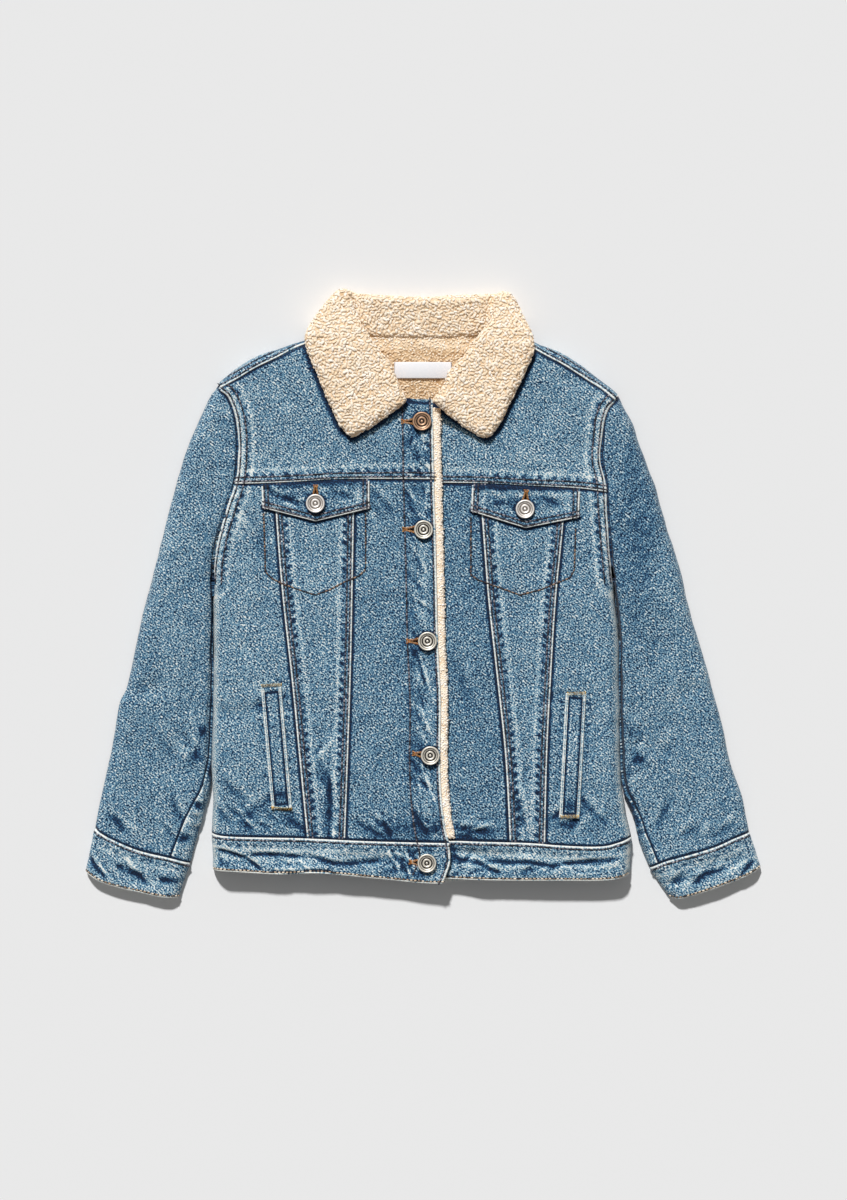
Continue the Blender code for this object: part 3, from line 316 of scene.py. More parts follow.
# Spots that faded less (amount under 0) or more than the cloth around them.
PATCHES = zoned(
    "x y across up amount",
    body=(
        (-92, 30, 22, 60, 0.03), (-164, 0, 14, 120, 0.04), (-150, -60, 30, 60, 0.02), (-130, -206, 34, 8, -0.1),
        (-86, -190, 4, 28, -0.2), (-34, -212, 14, 10, -0.28), (60, 96, 20, 2.5, -0.3), (112, 94, 20, 3, -0.2),
        (46, -212, 20, 8, -0.16), (44, -204, 18, 3, 0.12), (140, -208, 26, 8, -0.1), (-150, 118, 18, 12, 0.06),
        (140, 112, 18, 12, 0.06), (-40, 120, 26, 22, -0.04), (-118, 124, 40, 6, 0.06), (104, 122, 40, 6, 0.06),
    ),
    flap=(
        (-96, 88, 60, 40, -0.1), (92, 84, 60, 40, -0.1), (-126, 88, 16, 5, -0.2), (-112, 98, 28, 2.4, 0.1),
        (-66, 96, 16, 3, -0.14), (-66, 88, 14, 4, 0.06), (74, 96, 30, 2.6, -0.34), (92, 90.5, 44, 2.6, 0.06),
        (64, 82, 14, 4, -0.14),
    ),
    stand=(
        (2, -40, 30, 300, -0.06), (-4, 60, 12, 12, -0.16), (0, 88, 10, 12, -0.1), (-4, -48, 12, 14, -0.18),
        (0, -146, 12, 14, -0.18), (4, -208, 18, 9, -0.3), (-9, 143, 7, 8, -0.2), (1.5, 124, 9, 8, -0.24),
        (4.5, 113, 6, 5, 0.3), (4, 20, 6, 20, 0.06), (4, -110, 7, 24, 0.05),
    ),
    band=(
        (-8, -240, 25, 14, -0.3), (30, -234, 10, 10, -0.2), (-100, -230, 66, 6, 0.08), (120, -232, 66, 6, 0.08),
        (-176, -242, 14, 8, -0.1), (-64, -248, 46, 5, -0.05), (96, -248, 50, 5, -0.07),
    ),
    sleeve=(
        (-198, -122, 6, 4.5, -0.3), (-203, -146, 6, 5, -0.28), (-199, -134, 7, 4, 0.1),
        (188, -124, 6, 4.5, -0.28), (193, -148, 6, 5, -0.28), (189, -136, 7, 4, 0.1),
        (-232, -20, 12, 150, 0.05), (222, -20, 12, 150, 0.02), (-196, 150, 14, 18, 0.06),
        (-250, -60, 40, 160, -0.02), (192, 60, 26, 100, -0.14), (-256, -214, 26, 8, 0.04),
    ),
    under=(
        (-205, -190, 8, 5, -0.2), (-215, -218, 9, 6, -0.2), (206, -196, 8, 5, -0.18), (212, -222, 9, 6, -0.18),
    ),
    cuff=(
        (-262, -251, 16, 5, -0.16), (-230, -257, 10, 5, -0.2), (-294, -242, 6, 8, -0.14),
        (-262, -238, 24, 6, 0.05), (252, -252, 16, 5, -0.14), (292, -244, 6, 8, -0.12),
    ),
)
# Where many short creases lie side by side: the middle and half size of the field, their heading.
CRINKLES = zoned(
    "x y half_x half_y heading spread count length depth width",
    body=(
        (-150, -202, 30, 10, -42, 25, 9, 20, 0.7, 2.2), (-36, -206, 22, 10, -50, 25, 9, 18, 0.8, 2.0),
        (-116, 108, 50, 6, -62, 20, 8, 14, 0.5, 2.2), (96, 106, 50, 6, 62, 20, 8, 14, 0.5, 2.2),
        (134, -204, 34, 10, 42, 25, 9, 20, 0.7, 2.2), (48, -206, 20, 10, 20, 25, 8, 20, 0.8, 2.0),
        (-166, 60, 12, 34, -60, 20, 7, 16, 0.4, 2.6), (156, 60, 12, 34, 60, 20, 7, 16, 0.4, 2.6),
        (-100, 0, 80, 180, -55, 60, 20, 30, 0.14, 4.5), (90, 0, 80, 180, 55, 60, 20, 30, 0.14, 4.5),
        (-86, -190, 8, 34, -60, 30, 8, 16, 0.7, 2.0), (88, -190, 8, 34, 60, 30, 8, 16, 0.7, 2.0),
        (-136, -90, 26, 14, -20, 25, 6, 16, 0.6, 2.2), (134, -92, 26, 14, 20, 25, 6, 16, 0.6, 2.2),
    ),
    flap=((-96, 88, 40, 8, -30, 30, 8, 14, 0.5, 1.8), (92, 84, 40, 8, -25, 30, 8, 14, 0.5, 1.8)),
    stand=((-4, -50, 9, 170, -58, 22, 44, 20, 0.75, 1.8), (-2, 130, 9, 34, -60, 30, 11, 16, 0.7, 1.8)),
    band=(
        (-100, -244, 84, 8, -22, 25, 18, 18, 0.55, 1.8), (100, -246, 84, 8, 22, 25, 18, 18, 0.55, 1.8),
        (-10, -240, 22, 13, -55, 25, 18, 15, 1.0, 1.6), (34, -240, 10, 12, 40, 25, 6, 14, 0.8, 1.8),
    ),
    sleeve=(
        (-206, -136, 12, 26, -45, 25, 8, 16, 0.6, 2.4), (196, -140, 12, 26, 45, 25, 8, 16, 0.6, 2.4),
        (-224, 10, 30, 150, -50, 40, 14, 30, 0.12, 4.5), (214, 10, 30, 150, 50, 40, 14, 30, 0.12, 4.5),
        (-256, -208, 34, 12, -50, 30, 8, 18, 0.5, 2.6), (250, -212, 34, 12, 50, 30, 8, 18, 0.5, 2.6),
    ),
    under=((-208, -190, 12, 30, -30, 30, 7, 14, 0.6, 2.2), (202, -196, 12, 30, 30, 30, 7, 14, 0.6, 2.2)),
    cuff=((-260, -246, 38, 12, -38, 30, 14, 16, 0.7, 1.8), (254, -250, 38, 12, 38, 30, 14, 16, 0.7, 1.8)),
)
POCKET_BAG = pair(
    ((-143, 72), (-141.5, 21), (-136, 15), (-126, 10), (-111, 4.5), (-97, 0), (-84, 4.5), (-70, 12),
     (-57.5, 17), (-51.5, 23), (-51.5, 72)),
    ((43, 68), (43, 18), (49.5, 13.5), (69, 6.5), (87, 0), (105, 4.5), (121, 11), (132, 15.5), (136, 23),
     (137, 58)),
)
# The collar's free edge, beside which the cloth is painted with the collar's shadow.
COLLAR_EDGE = pair(
    ((-107, 232), (-100, 210), (-85.5, 175), (-73, 149), (-64, 142), (-40, 156), (-15, 174)),
    ((8, 174), (30, 158), (57.5, 141.5), (66.5, 149), (81, 178), (97, 211), (101, 230)),
)
# From the far end of each buttonhole to its end by the button, and the two ends of each bar tack.
BUTTONHOLES = (
    ((-18, 155.7), (-6.5, 155.7)), ((-17, 59), (-7, 58.8)), ((-13.5, -41.4), (-3, -41.5)),
    ((-8, -142.4), (0, -143.4)), ((-11, -239.6), (-3.5, -240.2)),
    ((-96.4, 97.4), (-96.5, 88.0)), ((92.6, 93.0), (91.8, 84.4)),
)
BAR_TACKS = (
    ((-145, -81.5), (-127, -80.5)), ((-136, -191), (-118, -192.6)),
    ((129.6, -88.6), (146, -88.0)), ((123.4, -199), (139.6, -198.6)),
)
# A button's turned profile: how far out, how high, and how bright its plating still is.
BUTTON_RINGS = rows(
    "radius height tone",
    (0, 0.7, 0.9), (0.9, 0.7, 0.7), (1.3, 0.62, 0.0), (2.2, 0.62, 0.0), (2.6, 0.74, 0.8), (3.5, 0.78, 1.0),
    (4.0, 0.74, 0.3), (4.3, 0.66, 0.0), (5.0, 0.66, 0.0), (5.4, 0.76, 0.8), (6.0, 0.78, 0.6), (6.5, 0.8, 0.0),
    (7.1, 0.95, 1.0), (7.6, 1.0, 1.0), (8.0, 0.97, 0.95), (8.3, 0.88, 0.7), (8.5, 0.74, 0.4), (8.42, 0.6, 0.3),
    (8.0, 0.5, 0.2), (5.5, 0.44, 0.2), (3.3, 0.38, 0.2), (3.2, 0, 0.2), (0, 0, 0.2),
)


def smooth(*tables: Sequence) -> Array:
    """Close points on the smooth curve through each table's rows, one table after another.

    Args:
        tables: rows of x and y.

    Returns:
        The points, without doubles, as an array of x and y.
    """
    runs = []
    for table in tables:
        knots = np.array([tuple(row) for row in table], float)
        knots = np.vstack([2 * knots[0] - knots[1], knots, 2 * knots[-1] - knots[-2]])
        for before, start, end, after in zip(knots, knots[1:], knots[2:], knots[3:]):
            t = np.linspace(0, 1, 7)[:, None]
            runs.append(
                0.5 * (2 * start + (end - before) * t
                       + (2 * before - 5 * start + 4 * end - after) * t**2
                       + (3 * start - before - 3 * end + after) * t**3)
            )
    points = np.vstack(runs)
    keep = np.append(True, np.linalg.norm(np.diff(points, axis=0), axis=1) > 1e-6)
    return points[keep]


def ease(value: Array, start: float, end: float) -> Array:
    """0 before start, 1 after end, smooth between them."""
    t = np.clip((value - start) / (end - start), 0.0, 1.0)
    return t * t * (3 - 2 * t)


def bump(value: Array, middle: float, width: float) -> Array:
    """1 at the middle and soft to both sides over the width."""
    return np.exp(-(((value - middle) / width) ** 2))


def quarter(distance: Array, radius: float) -> Array:
    """Height share of a quarter round at this distance inside an edge."""
    t = 1 - np.clip(distance / radius, 0.0, 1.0)
    return np.sqrt(1 - t * t)


def between_rows(table: Sequence, at: Array) -> Array:
    """A table's second column at values of its first."""
    return np.interp(at, [row[0] for row in table], [row[1] for row in table])


def unit(vectors: Array) -> Array:
    """The vectors at length 1."""
    return vectors / np.maximum(np.linalg.norm(vectors, axis=-1, keepdims=True), 1e-9)


def left_of(ahead: Array) -> Array:
    """Directions of the plan turned a quarter to the left."""
    return np.stack([-ahead[..., 1], ahead[..., 0]], axis=-1)


def crossed(one: Array, other: Array) -> Array:
    """The cross products of directions of the plan, over 0 where the other turns to the left."""
    return one[..., 0] * other[..., 1] - one[..., 1] * other[..., 0]


def centre_of(node: str) -> list[float]:
    """The middle of a node's box in the plan, in mm."""
    low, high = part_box(node)
    return [(low[k] + high[k]) / 2 / MM for k in (0, 1)]


@dataclass
class Reading:
    """Where places lie from a line: how far away, how far along it in mm, and on which side."""

    away: Array
    along: Array
    side: Array


class Line:
    """A line of the plan, read by its share of length from 0 to 1, and straight on past its ends."""

    def __init__(self, points: Array) -> None:
        """Take the line's points in order."""
        steps = np.linalg.norm(np.diff(points, axis=0), axis=1)
        self.points, self.length = points, float(steps.sum())
        self.shares = np.append(0.0, np.cumsum(steps)) / self.length
        first = points[0] + unit(points[0] - points[1]) * self.length
        last = points[-1] + unit(points[-1] - points[-2]) * self.length
        self.long_points = np.vstack([first, points, last])
        self.long_shares = np.concatenate([[-1.0], self.shares, [2.0]])

    def at(self, share: Array) -> Array:
        """The points at these shares of its length."""
        columns = [np.interp(share, self.long_shares, self.long_points[:, k]) for k in (0, 1)]
        return np.stack(columns, axis=-1)

    def part(self, start: float, end: float) -> "Line":
        """The stretch between two shares, turned round if they are."""
        inside = (self.shares > min(start, end)) & (self.shares < max(start, end))
        middle = self.points[inside]
        if start > end:
            middle = middle[::-1]
        return Line(np.vstack([self.at(start), middle, self.at(end)]))

    def share_where_it_meets(self, other: "Line") -> float:
        """The share of this line's length at its first crossing with another."""
        a, b = self.points[:-1, None], self.points[1:, None]
        c, d = other.points[None, :-1], other.points[None, 1:]
        along, across, apart = b - a, d - c, c - a
        turn = crossed(along, across)
        turn = np.where(abs(turn) < 1e-12, 1e-12, turn)
        s, t = crossed(apart, across) / turn, crossed(apart, along) / turn
        i, j = np.argwhere((s >= 0) & (s <= 1) & (t >= 0) & (t <= 1))[0]
        return float(self.shares[i] + s[i, j] * (self.shares[i + 1] - self.shares[i]))

    def between(self, first: "Line", last: "Line") -> "Line":
        """The stretch between the crossings with two other lines."""
        return self.part(self.share_where_it_meets(first), self.share_where_it_meets(last))

    def beside(self, offset: float, spacing: float = 3.0) -> Array:
        """Points along the line, this many mm to its left, or to its right if under 0."""
        share = np.linspace(0, 1, max(int(self.length / spacing), 2) + 1)
        points, look = self.at(share), 1.5 / self.length
        ahead = unit(self.at(share + look) - self.at(share - look))
        return points + offset * left_of(ahead)

    def read(self, places: Array) -> Reading:
        """Where places lie from the line.

        Args:
            places: an array of x and y with any leading shape.

        Returns:
            The reading, in the places' leading shape.
        """
        shape, flat = places.shape[:-1], places.reshape(-1, 2)
        starts, steps = self.points[:-1], np.diff(self.points, axis=0)
        squared = (steps**2).sum(axis=1)
        found = np.empty((3, len(flat)))
        for first in range(0, len(flat), 6000):
            offset = flat[first:first + 6000, None] - starts[None]
            t = np.clip((offset * steps).sum(axis=2) / squared, 0, 1)
            gap = ((offset - t[..., None] * steps) ** 2).sum(axis=2)
            best = gap.argmin(axis=1)
            row = np.arange(len(best))
            turn = crossed(steps[best], offset[row, best])
            along = self.shares[best] * self.length + t[row, best] * np.sqrt(squared[best])
            found[:, first:first + 6000] = np.sqrt(gap[row, best]), along, np.where(turn < 0, -1, 1)
        return Reading(*(each.reshape(shape) for each in found))

    def distance(self, places: Array) -> Array:
        """mm from the line to each place."""
        return self.read(places).away


class Patch:
    """A four-sided piece of the plan. Upper and lower run from side a to side b, and a and b run down."""

    def __init__(self, upper: Line, lower: Line, a: Line, b: Line) -> None:
        """Take the four sides."""
        self.upper, self.lower, self.a, self.b = upper, lower, a, b
        self.width = (upper.length + lower.length) / 2
        self.depth = (a.length + b.length) / 2

    @classmethod
    def cut(cls, upper: Line, lower: Line, a: Line, b: Line) -> "Patch":
        """The patch between four lines that cross each other at its corners."""
        return cls(upper.between(a, b), lower.between(a, b), a.between(upper, lower), b.between(upper, lower))

    def at(self, u: Array, v: Array) -> Array:
        """The plan's points at shares u from a to b and v from upper to lower."""
        w, k = u[..., None], v[..., None]
        corners = ((1 - w) * (1 - k) * self.a.at(0.0) + w * (1 - k) * self.b.at(0.0)
                   + (1 - w) * k * self.a.at(1.0) + w * k * self.b.at(1.0))
        across = (1 - k) * self.upper.at(u) + k * self.lower.at(u)
        down = (1 - w) * self.a.at(v) + w * self.b.at(v)
        return across + down - corners

    def inside(self, u: float = 0.5, v: float = 0.5) -> Array:
        """One point at these shares, the middle unless told."""
        return self.at(np.array(u), np.array(v))


def both(table: dict) -> dict[str, Line]:
    """The smooth line of each side of the garment."""
    return {side: Line(smooth(table[side])) for side in SIDES}


def straight(points: Iterable) -> Line:
    """A line through points with straight runs."""
    return Line(np.array([(point[0], point[1]) for point in points], float))


class Plan:
    """The garment's seams and edges, seen from above."""

    shoulder_seam, armhole, front_edge = both(SHOULDER_SEAM), both(ARMHOLE), both(FRONT_EDGE)
    yoke_seam, waist_seam, hem = both(YOKE_SEAM), both(WAIST_SEAM), both(HEM)
    outer_taper, inner_taper = both(OUTER_TAPER), both(INNER_TAPER)
    sleeve_outer, sleeve_inner = both(SLEEVE_OUTER), both(SLEEVE_INNER)
    cuff_seam, cuff_edge = both(CUFF_SEAM), both(CUFF_EDGE)
    cuff_outer, cuff_inner = both(CUFF_OUTER), both(CUFF_INNER)
    back_yoke_seam = Line(smooth(BACK_YOKE_SEAM))
    neck_edge = Line(smooth(SHOULDER_EDGE["right"][::-1], BACK_NECK[1:-1], SHOULDER_EDGE["left"]))
    outside = {s: Line(smooth(SHOULDER_EDGE[s], SLEEVE_OUTER[s], CUFF_OUTER[s])) for s in SIDES}
    body_side = {s: Line(smooth(ARMHOLE[s], SIDE_SEAM[s][:-1], BAND_SIDE[s][1:])) for s in SIDES}
    sleeve_side = {s: Line(smooth(ARMHOLE[s][:-1], SLEEVE_INNER[s], CUFF_INNER[s])) for s in SIDES}


class Form:
    """Heights of the laid garment in mm, over places of its plan."""

    @staticmethod
    def folds(places: Array) -> Array:
        """How far the largest folds lower the cloth."""
        drop = np.zeros(places.shape[:-1])
        for fold in FOLDS:
            start = np.array([fold.x0, fold.y0], float)
            along = np.array([fold.x1, fold.y1]) - start
            t = (places - start) @ along / (along @ along)
            off = np.linalg.norm(places - start - t[..., None] * along, axis=-1)
            ends = ease(t, -0.1, 0.25) * (1 - ease(t, 0.75, 1.1))
            drop += fold.depth * ends * np.exp(-((off / fold.width) ** 2))
        return drop

    @staticmethod
    def stand_edge(y: Array) -> Array:
        """How far across the wearer's right front reaches."""
        points = Plan.front_edge["right"].points
        return np.interp(-y, -points[:, 1], points[:, 0])

    @classmethod
    def fronts(cls, side: str, places: Array) -> Array:
        """A front's crown, before its edges fall."""
        x, y = places[..., 0], places[..., 1]
        edge = cls.stand_edge(y)
        if side == "right":
            lift = LIFT * (1 - 0.5 * ease(-y, *LIFT_EASES))
            return CHEST + lift * ease(x - edge, -LIFT_STARTS, -8.0)
        rise = ease(x - edge, 6.0, 6.0 + UNDER_FRONT_RISES)
        return UNDER_FRONT + (CHEST - UNDER_FRONT) * rise

    @staticmethod
    def fallen(crown: Array, places: Array, side: str, inner: dict[str, Line]) -> Array:
        """The crown once the outside and the side line have fallen to the underside."""
        share = quarter(Plan.outside[side].distance(places), BODY_ROUND)
        fall = between_rows(ARMHOLE_FALL, places[..., 1])
        share = share * (1 - fall * (1 - quarter(inner[side].distance(places), BODY_ROUND)))
        return LOWEST_EDGE + (crown - LOWEST_EDGE) * share

    @classmethod
    def body(cls, side: str, places: Array, proud: float = 0.0) -> Array:
        """Top of a front, or of the waistband where proud says how far that stands over it."""
        crown = cls.fronts(side, places) + proud - cls.folds(places)
        return cls.fallen(crown, places, side, Plan.body_side)

    @classmethod
    def sleeve(cls, side: str, places: Array, proud: float = 0.0) -> Array:
        """Top of a sleeve, or of its cuff where proud says how far that stands over it."""
        away = Plan.armhole[side].distance(places)
        crown = CHEST + (SLEEVE_MIDDLE - CHEST) * ease(away, 0, SLEEVE_SETTLES)
        crown = crown + (SLEEVE_END - SLEEVE_MIDDLE) * ease(-places[..., 1], *SLEEVE_TAPERS)
        return cls.fallen(crown + proud - cls.folds(places), places, side, Plan.sleeve_side)


class Edge(Enum):
    """How a piece of cloth ends at one of its sides."""

    LAP = "folded over its neighbour"
    UNDER = "runs on under its neighbour"
    OPEN = "a free folded edge"
    FALL = "ends by the ground"


@dataclass(frozen=True)
class Side:
    """A seam or edge as it shows in the cloth beside it.

    Fields: the line, the way the cloth ends there, the width of the doubled band, the stitch rows'
    distances from the edge, the puckers' height, how deep a tucked edge goes under, and how strongly
    the edge has paled. Where the cloth runs on under a lap, that last number sets the painted shadow
    line beside the lap's edge, and on a fallen edge it paints light on the wall against its shade.
    """

    line: Line
    edge: Edge
    band: float = 10.0
    rows: tuple[float, ...] = (2.6, 8.0)
    pucker: float = 0.42
    sink: float = 1.1
    pale: float = 1.0


def ripples(along: Array, seed: float) -> Array:
    """Uneven waves along a seam, from -1 to 1, about 7 to 12 mm long."""
    one = np.sin(2 * math.pi * along / 7.3 + seed + 1.6 * np.sin(along / 19.0 + seed))
    two = np.sin(2 * math.pi * along / 11.9 + 2.1 * seed + 1.2 * np.sin(along / 31.0))
    strength = 0.62 + 0.38 * np.sin(along / 27.0 + 3.7 * seed)
    return (0.62 * one + 0.38 * two) * strength


def waves(places: Array, shortest: float, longest: float, count: int, seed: int) -> Array:
    """A smooth random field of about unit spread, from plane waves of these lengths in mm."""
    random = np.random.default_rng(seed)
    total = np.zeros(places.shape[:-1])
    for _ in range(count):
        heading, phase = random.uniform(0, 2 * math.pi, 2)
        pace = 2 * math.pi / random.uniform(shortest, longest)
        total += np.sin(pace * (places @ np.array([math.cos(heading), math.sin(heading)])) + phase)
    return total * math.sqrt(2 / count)


def crinkled(fields: Sequence, seed: int) -> list:
    """Short creases, laid out in fields with a fixed seed, in the columns of CREASES."""
    random = np.random.default_rng(seed)
    found = []
    for f in fields:
        for _ in range(f.count):
            x, y = random.uniform(-1, 1, 2) * (f.half_x, f.half_y) + (f.x, f.y)
            heading = math.radians(f.heading + random.uniform(-f.spread, f.spread))
            half = f.length * random.uniform(0.3, 0.7)
            reach = np.array([math.cos(heading), math.sin(heading)]) * half
            depth = f.depth * random.uniform(0.4, 1.3) * random.choice((-0.7, 1.0))
            width = f.width * random.uniform(0.75, 1.3)
            found.append((x - reach[0], y - reach[1], x + reach[0], y + reach[1], depth, width))
    return rows("x0 y0 x1 y1 depth width", *found)


@dataclass
class Relief:
    """What the laid cloth's surface does over its form, and how that shows in its fading, with painted shade and
    light worked into the same values.
    """

    places: Array
    lift: Array = field(init=False)
    wash: Array = field(init=False)

    def __post_init__(self) -> None:
        """Start from the lining's soft swell."""
        field_of = partial(waves, self.places)
        swell = 0.34 * field_of(45, 110, 9, SEED) + 0.15 * field_of(16, 34, 12, SEED + 1)
        self.lift = swell + 0.035 * field_of(6, 11, 12, SEED + 2)
        cloudy = 0.016 * field_of(14, 40, 12, SEED + 3) + 0.012 * field_of(5, 10, 14, SEED + 4)
        self.wash = MIDDLE_WASH + cloudy + 0.02 * swell

    def crease(self, table: Iterable) -> None:
        """Add soft troughs, each with a low ridge on its upper side."""
        for row in table:
            start = np.array([row.x0, row.y0], float)
            along = np.array([row.x1, row.y1]) - start
            length = float(np.linalg.norm(along))
            along /= length
            left = left_of(along) * (1 if along[0] > 0 else -1)
            reach = (self.places - start) @ along / length
            off = (self.places - start) @ left
            off = off + 0.06 * length * np.sin(math.pi * np.clip(reach, 0, 1)) * math.sin(row.x0 + row.y1)
            near = (abs(off) < 4 * row.width) & (reach > -0.15) & (reach < 1.15)
            ends = ease(reach[near], -0.1, 0.35) * (1 - ease(reach[near], 0.65, 1.1))
            trough = bump(off[near], 0, row.width) * ends
            ridge = bump(off[near], 1.55 * row.width, 0.9 * row.width) * ends
            self.lift[near] += row.depth * (0.5 * ridge - trough)
            tone = math.copysign(min(abs(row.depth), 1.4), row.depth)
            tone *= 1.9 if row.depth < 0 else 1.15
            self.wash[near] += tone * (0.14 * ridge - 0.25 * trough)

    def fold(self, table: Iterable) -> None:
        """Add long folds: troughs along lines of the plan, each with a ridge on its left side."""
        for row in table:
            line = Line(smooth(row.line))
            reading = line.read(self.places)
            off, reach = reading.away * reading.side, np.minimum(reading.along, line.length - reading.along)
            ends = ease(reach, 0.0, 0.2 * line.length) * (0.85 + 0.15 * np.sin(reading.along / 3.1))
            trough = bump(off, 0, row.width) * ends
            ridge = bump(off, 1.7 * row.width, row.width) * ends
            self.lift += row.depth * (0.6 * ridge - trough)
            self.wash += row.pale * ridge - row.dark * trough

    def fade(self, table: Iterable) -> None:
        """Add spots that faded more or less."""
        for row in table:
            off = ((self.places[..., 0] - row.x) / row.across) ** 2
            off = off + ((self.places[..., 1] - row.y) / row.up) ** 2
            ragged = 1 + 0.35 * waves(self.places, 5, 14, 8, SEED + 5)
            self.wash += row.amount * np.exp(-off) * ragged

    def groove(self, line: Line, depth: float, width: float, tone: float) -> None:
        """Press a stitched line into the cloth."""
        reading = line.read(self.places)
        pull = bump(reading.away, 0, width)
        uneven = 0.7 + 0.5 * ripples(reading.along, 2.0)
        self.lift -= depth * pull * uneven
        self.wash -= tone * pull * uneven

    def sew(self, side: Side, middle: Array, seed: float) -> None:
        """Add what a seam or an edge does to the cloth beside it.

        Args:
            side: the seam or edge.
            middle: a place well inside the piece, which tells the line's two sides apart.
            seed: what the puckers start from, the same for both pieces of a seam.
        """
        reading = side.line.read(self.places)
        inward = side.line.read(middle[None]).side[0]
        inside = reading.away * reading.side * inward
        if side.edge is Edge.FALL:
            # painted light: pale over 1 lightens the fallen wall against its shade; the rim at the ground gets
            # painted shade
            self.wash += (side.pale - 1) * (1 - ease(inside, 2.5, 7.5)) - 0.3 * (1 - ease(inside, 0.0, 0.9))
            return
        near = inside < 4 * side.band
        d, along = inside[near], reading.along[near]
        wave = ripples(along + 0.35 * d, seed)
        ragged = 0.72 + 0.5 * ripples(along * 2.6, seed + 1)
        if side.edge is Edge.UNDER:
            pull = np.exp(-np.clip(d, 0, None) / (0.7 * side.band))
            self.lift[near] += 0.8 * side.pucker * wave * pull * ease(d, 0, 3)
            self.lift[near] -= side.sink * (1 - ease(d, -0.4, 2.6))
            # the dark line beside the lap's edge is a painted shadow, its strength set by pale
            self.wash[near] += 0.13 * wave * pull - 1.4 * side.pale * bump(d, 0.9, 0.9)
            return
        doubled = ease(d, 0.0, 1.0) * (1 - ease(d, side.band - 1.5, side.band + 1.2))
        pull = bump(d, 0.62 * side.band, 0.62 * side.band)
        self.lift[near] += 0.5 * doubled + side.pucker * wave * pull
        self.wash[near] += 0.27 * wave * pull * side.pucker / 0.42
        drawn = min(side.pucker / 0.4, 1)
        spots = 0.9 * np.clip((side.pucker - 0.3) / 0.2, 0, 1)
        self.wash[near] -= spots * bump(d, side.band + 0.6, 2.1) * np.clip(1.5 * wave + 0.15, 0, 1)
        self.wash[near] += 0.28 * bump(d, side.band + 1.2, 2.4) * np.clip(-1.4 * wave, 0, 1) * drawn
        self.wash[near] += (0.22 * bump(d, side.band + 4.4, 2.0) + 0.06 * doubled) * drawn
        line = bump(d, 1.0, 1.0) if side.edge is Edge.OPEN else bump(d, 0.55, 0.85)
        self.wash[near] += 1.15 * side.pale * ragged * line
        for row in side.rows:
            self.lift[near] -= 0.25 * bump(d, row, 0.8)
            self.wash[near] -= 0.32 * bump(d, row, 1.0) * (1 + 0.35 * wave)


def stations(kind: Edge, narrowest: float) -> list[float]:
    """mm inside an edge at which the mesh has a line, close together where the seam's form is."""
    steps = {
        Edge.LAP: (0.7, 1.3, 1.9, 2.6, 3.4, 4.5, 5.8, 7.0, 8.0, 9.0, 10.2, 11.4, 12.8, 14.4),
        Edge.OPEN: (1.0, 1.5, 2.0, 2.6, 3.4, 4.6, 5.9, 7.0, 8.0, 9.1, 10.4, 11.8, 13.4),
        Edge.UNDER: (-2.6, -1.2, -0.2, 0.5, 1.2, 2.0, 3.0, 4.4, 6.0, 7.9, 10.0),
        Edge.FALL: tuple(BODY_ROUND * (1 - math.cos(math.radians(angle))) for angle in range(0, 91, 8)),
    }[kind]
    return [each for each in steps if each < 0.4 * narrowest]


def spread(span: Array, near: Sequence[float], far: Sequence[float], count: int) -> Array:
    """Shares across spans of differing length, at fixed mm from both ends and even between.

    Args:
        span: the spans' lengths in mm.
        near: mm from the start.
        far: mm from the end.
        count: how many even steps lie between.

    Returns:
        One row of shares for each span.
    """
    share = np.linspace(0, 1, count + 1)[1:-1]
    low, high = near[-1] / span[:, None], 1 - far[-1] / span[:, None]
    return np.hstack([np.array(near) / span[:, None], low + share * (high - low),
                      1 - np.array(far[::-1]) / span[:, None]])


def put(name: str, data: object) -> Piece:
    """An object of this data, linked to the scene."""
    made = bpy.data.objects.new(name, data)
    bpy.context.scene.collection.objects.link(made)
    return made


def faced(name: str, points: Array, faces: Iterable, edges: Iterable = ()) -> bpy.types.Mesh:
    """A smooth mesh of points in metres."""
    mesh = bpy.data.meshes.new(name)
    mesh.from_pydata(points, edges, faces)
    mesh.shade_smooth()
    return mesh


def shaped(name: str, sheet: bmesh.types.BMesh) -> Piece:
    """An object of what a bmesh holds."""
    mesh = bpy.data.meshes.new(name)
    sheet.to_mesh(mesh)
    sheet.free()
    return put(name, mesh)


def valued(mesh: bpy.types.Mesh, name: str, values: Array) -> None:
    """Keep a named value at each of a mesh's points."""
    mesh.attributes.new(name, "FLOAT", "POINT").data.foreach_set("value", values)


def evaluated(source: Piece) -> bpy.types.Mesh:
    """A piece's mesh as its modifiers leave it."""
    graph = bpy.context.evaluated_depsgraph_get()
    return bpy.data.meshes.new_from_object(source.evaluated_get(graph), preserve_all_data_layers=True,
                                           depsgraph=graph)


def quads(index: Array, flipped: bool = False) -> list:
    """The faces between the neighbours in a grid of points' numbers, the other way round if flipped."""
    corners = [index[:-1, :-1], index[1:, :-1], index[1:, 1:], index[:-1, 1:]]
    if flipped:
        corners = corners[:1] + corners[:0:-1]
    return np.stack(corners, axis=-1).reshape(-1, 4).tolist()


def wires(name: str, runs: Sequence) -> Piece:
    """A piece of edges alone, along runs of points in metres."""
    points, edges = [], []
    for run in runs:
        edges += [(len(points) + k, len(points) + k + 1) for k in range(len(run) - 1)]
        points += run
    return put(name, faced(name, points, [], edges))


def tree_over(pieces: Iterable[Piece]) -> BVHTree:
    """One search tree over pieces."""
    points, faces = [], []
    for piece in pieces:
        start = len(points)
        points += [v.co.copy() for v in piece.data.vertices]
        faces += [tuple(start + k for k in p.vertices) for p in piece.data.polygons]
    return BVHTree.FromPolygons(points, faces)


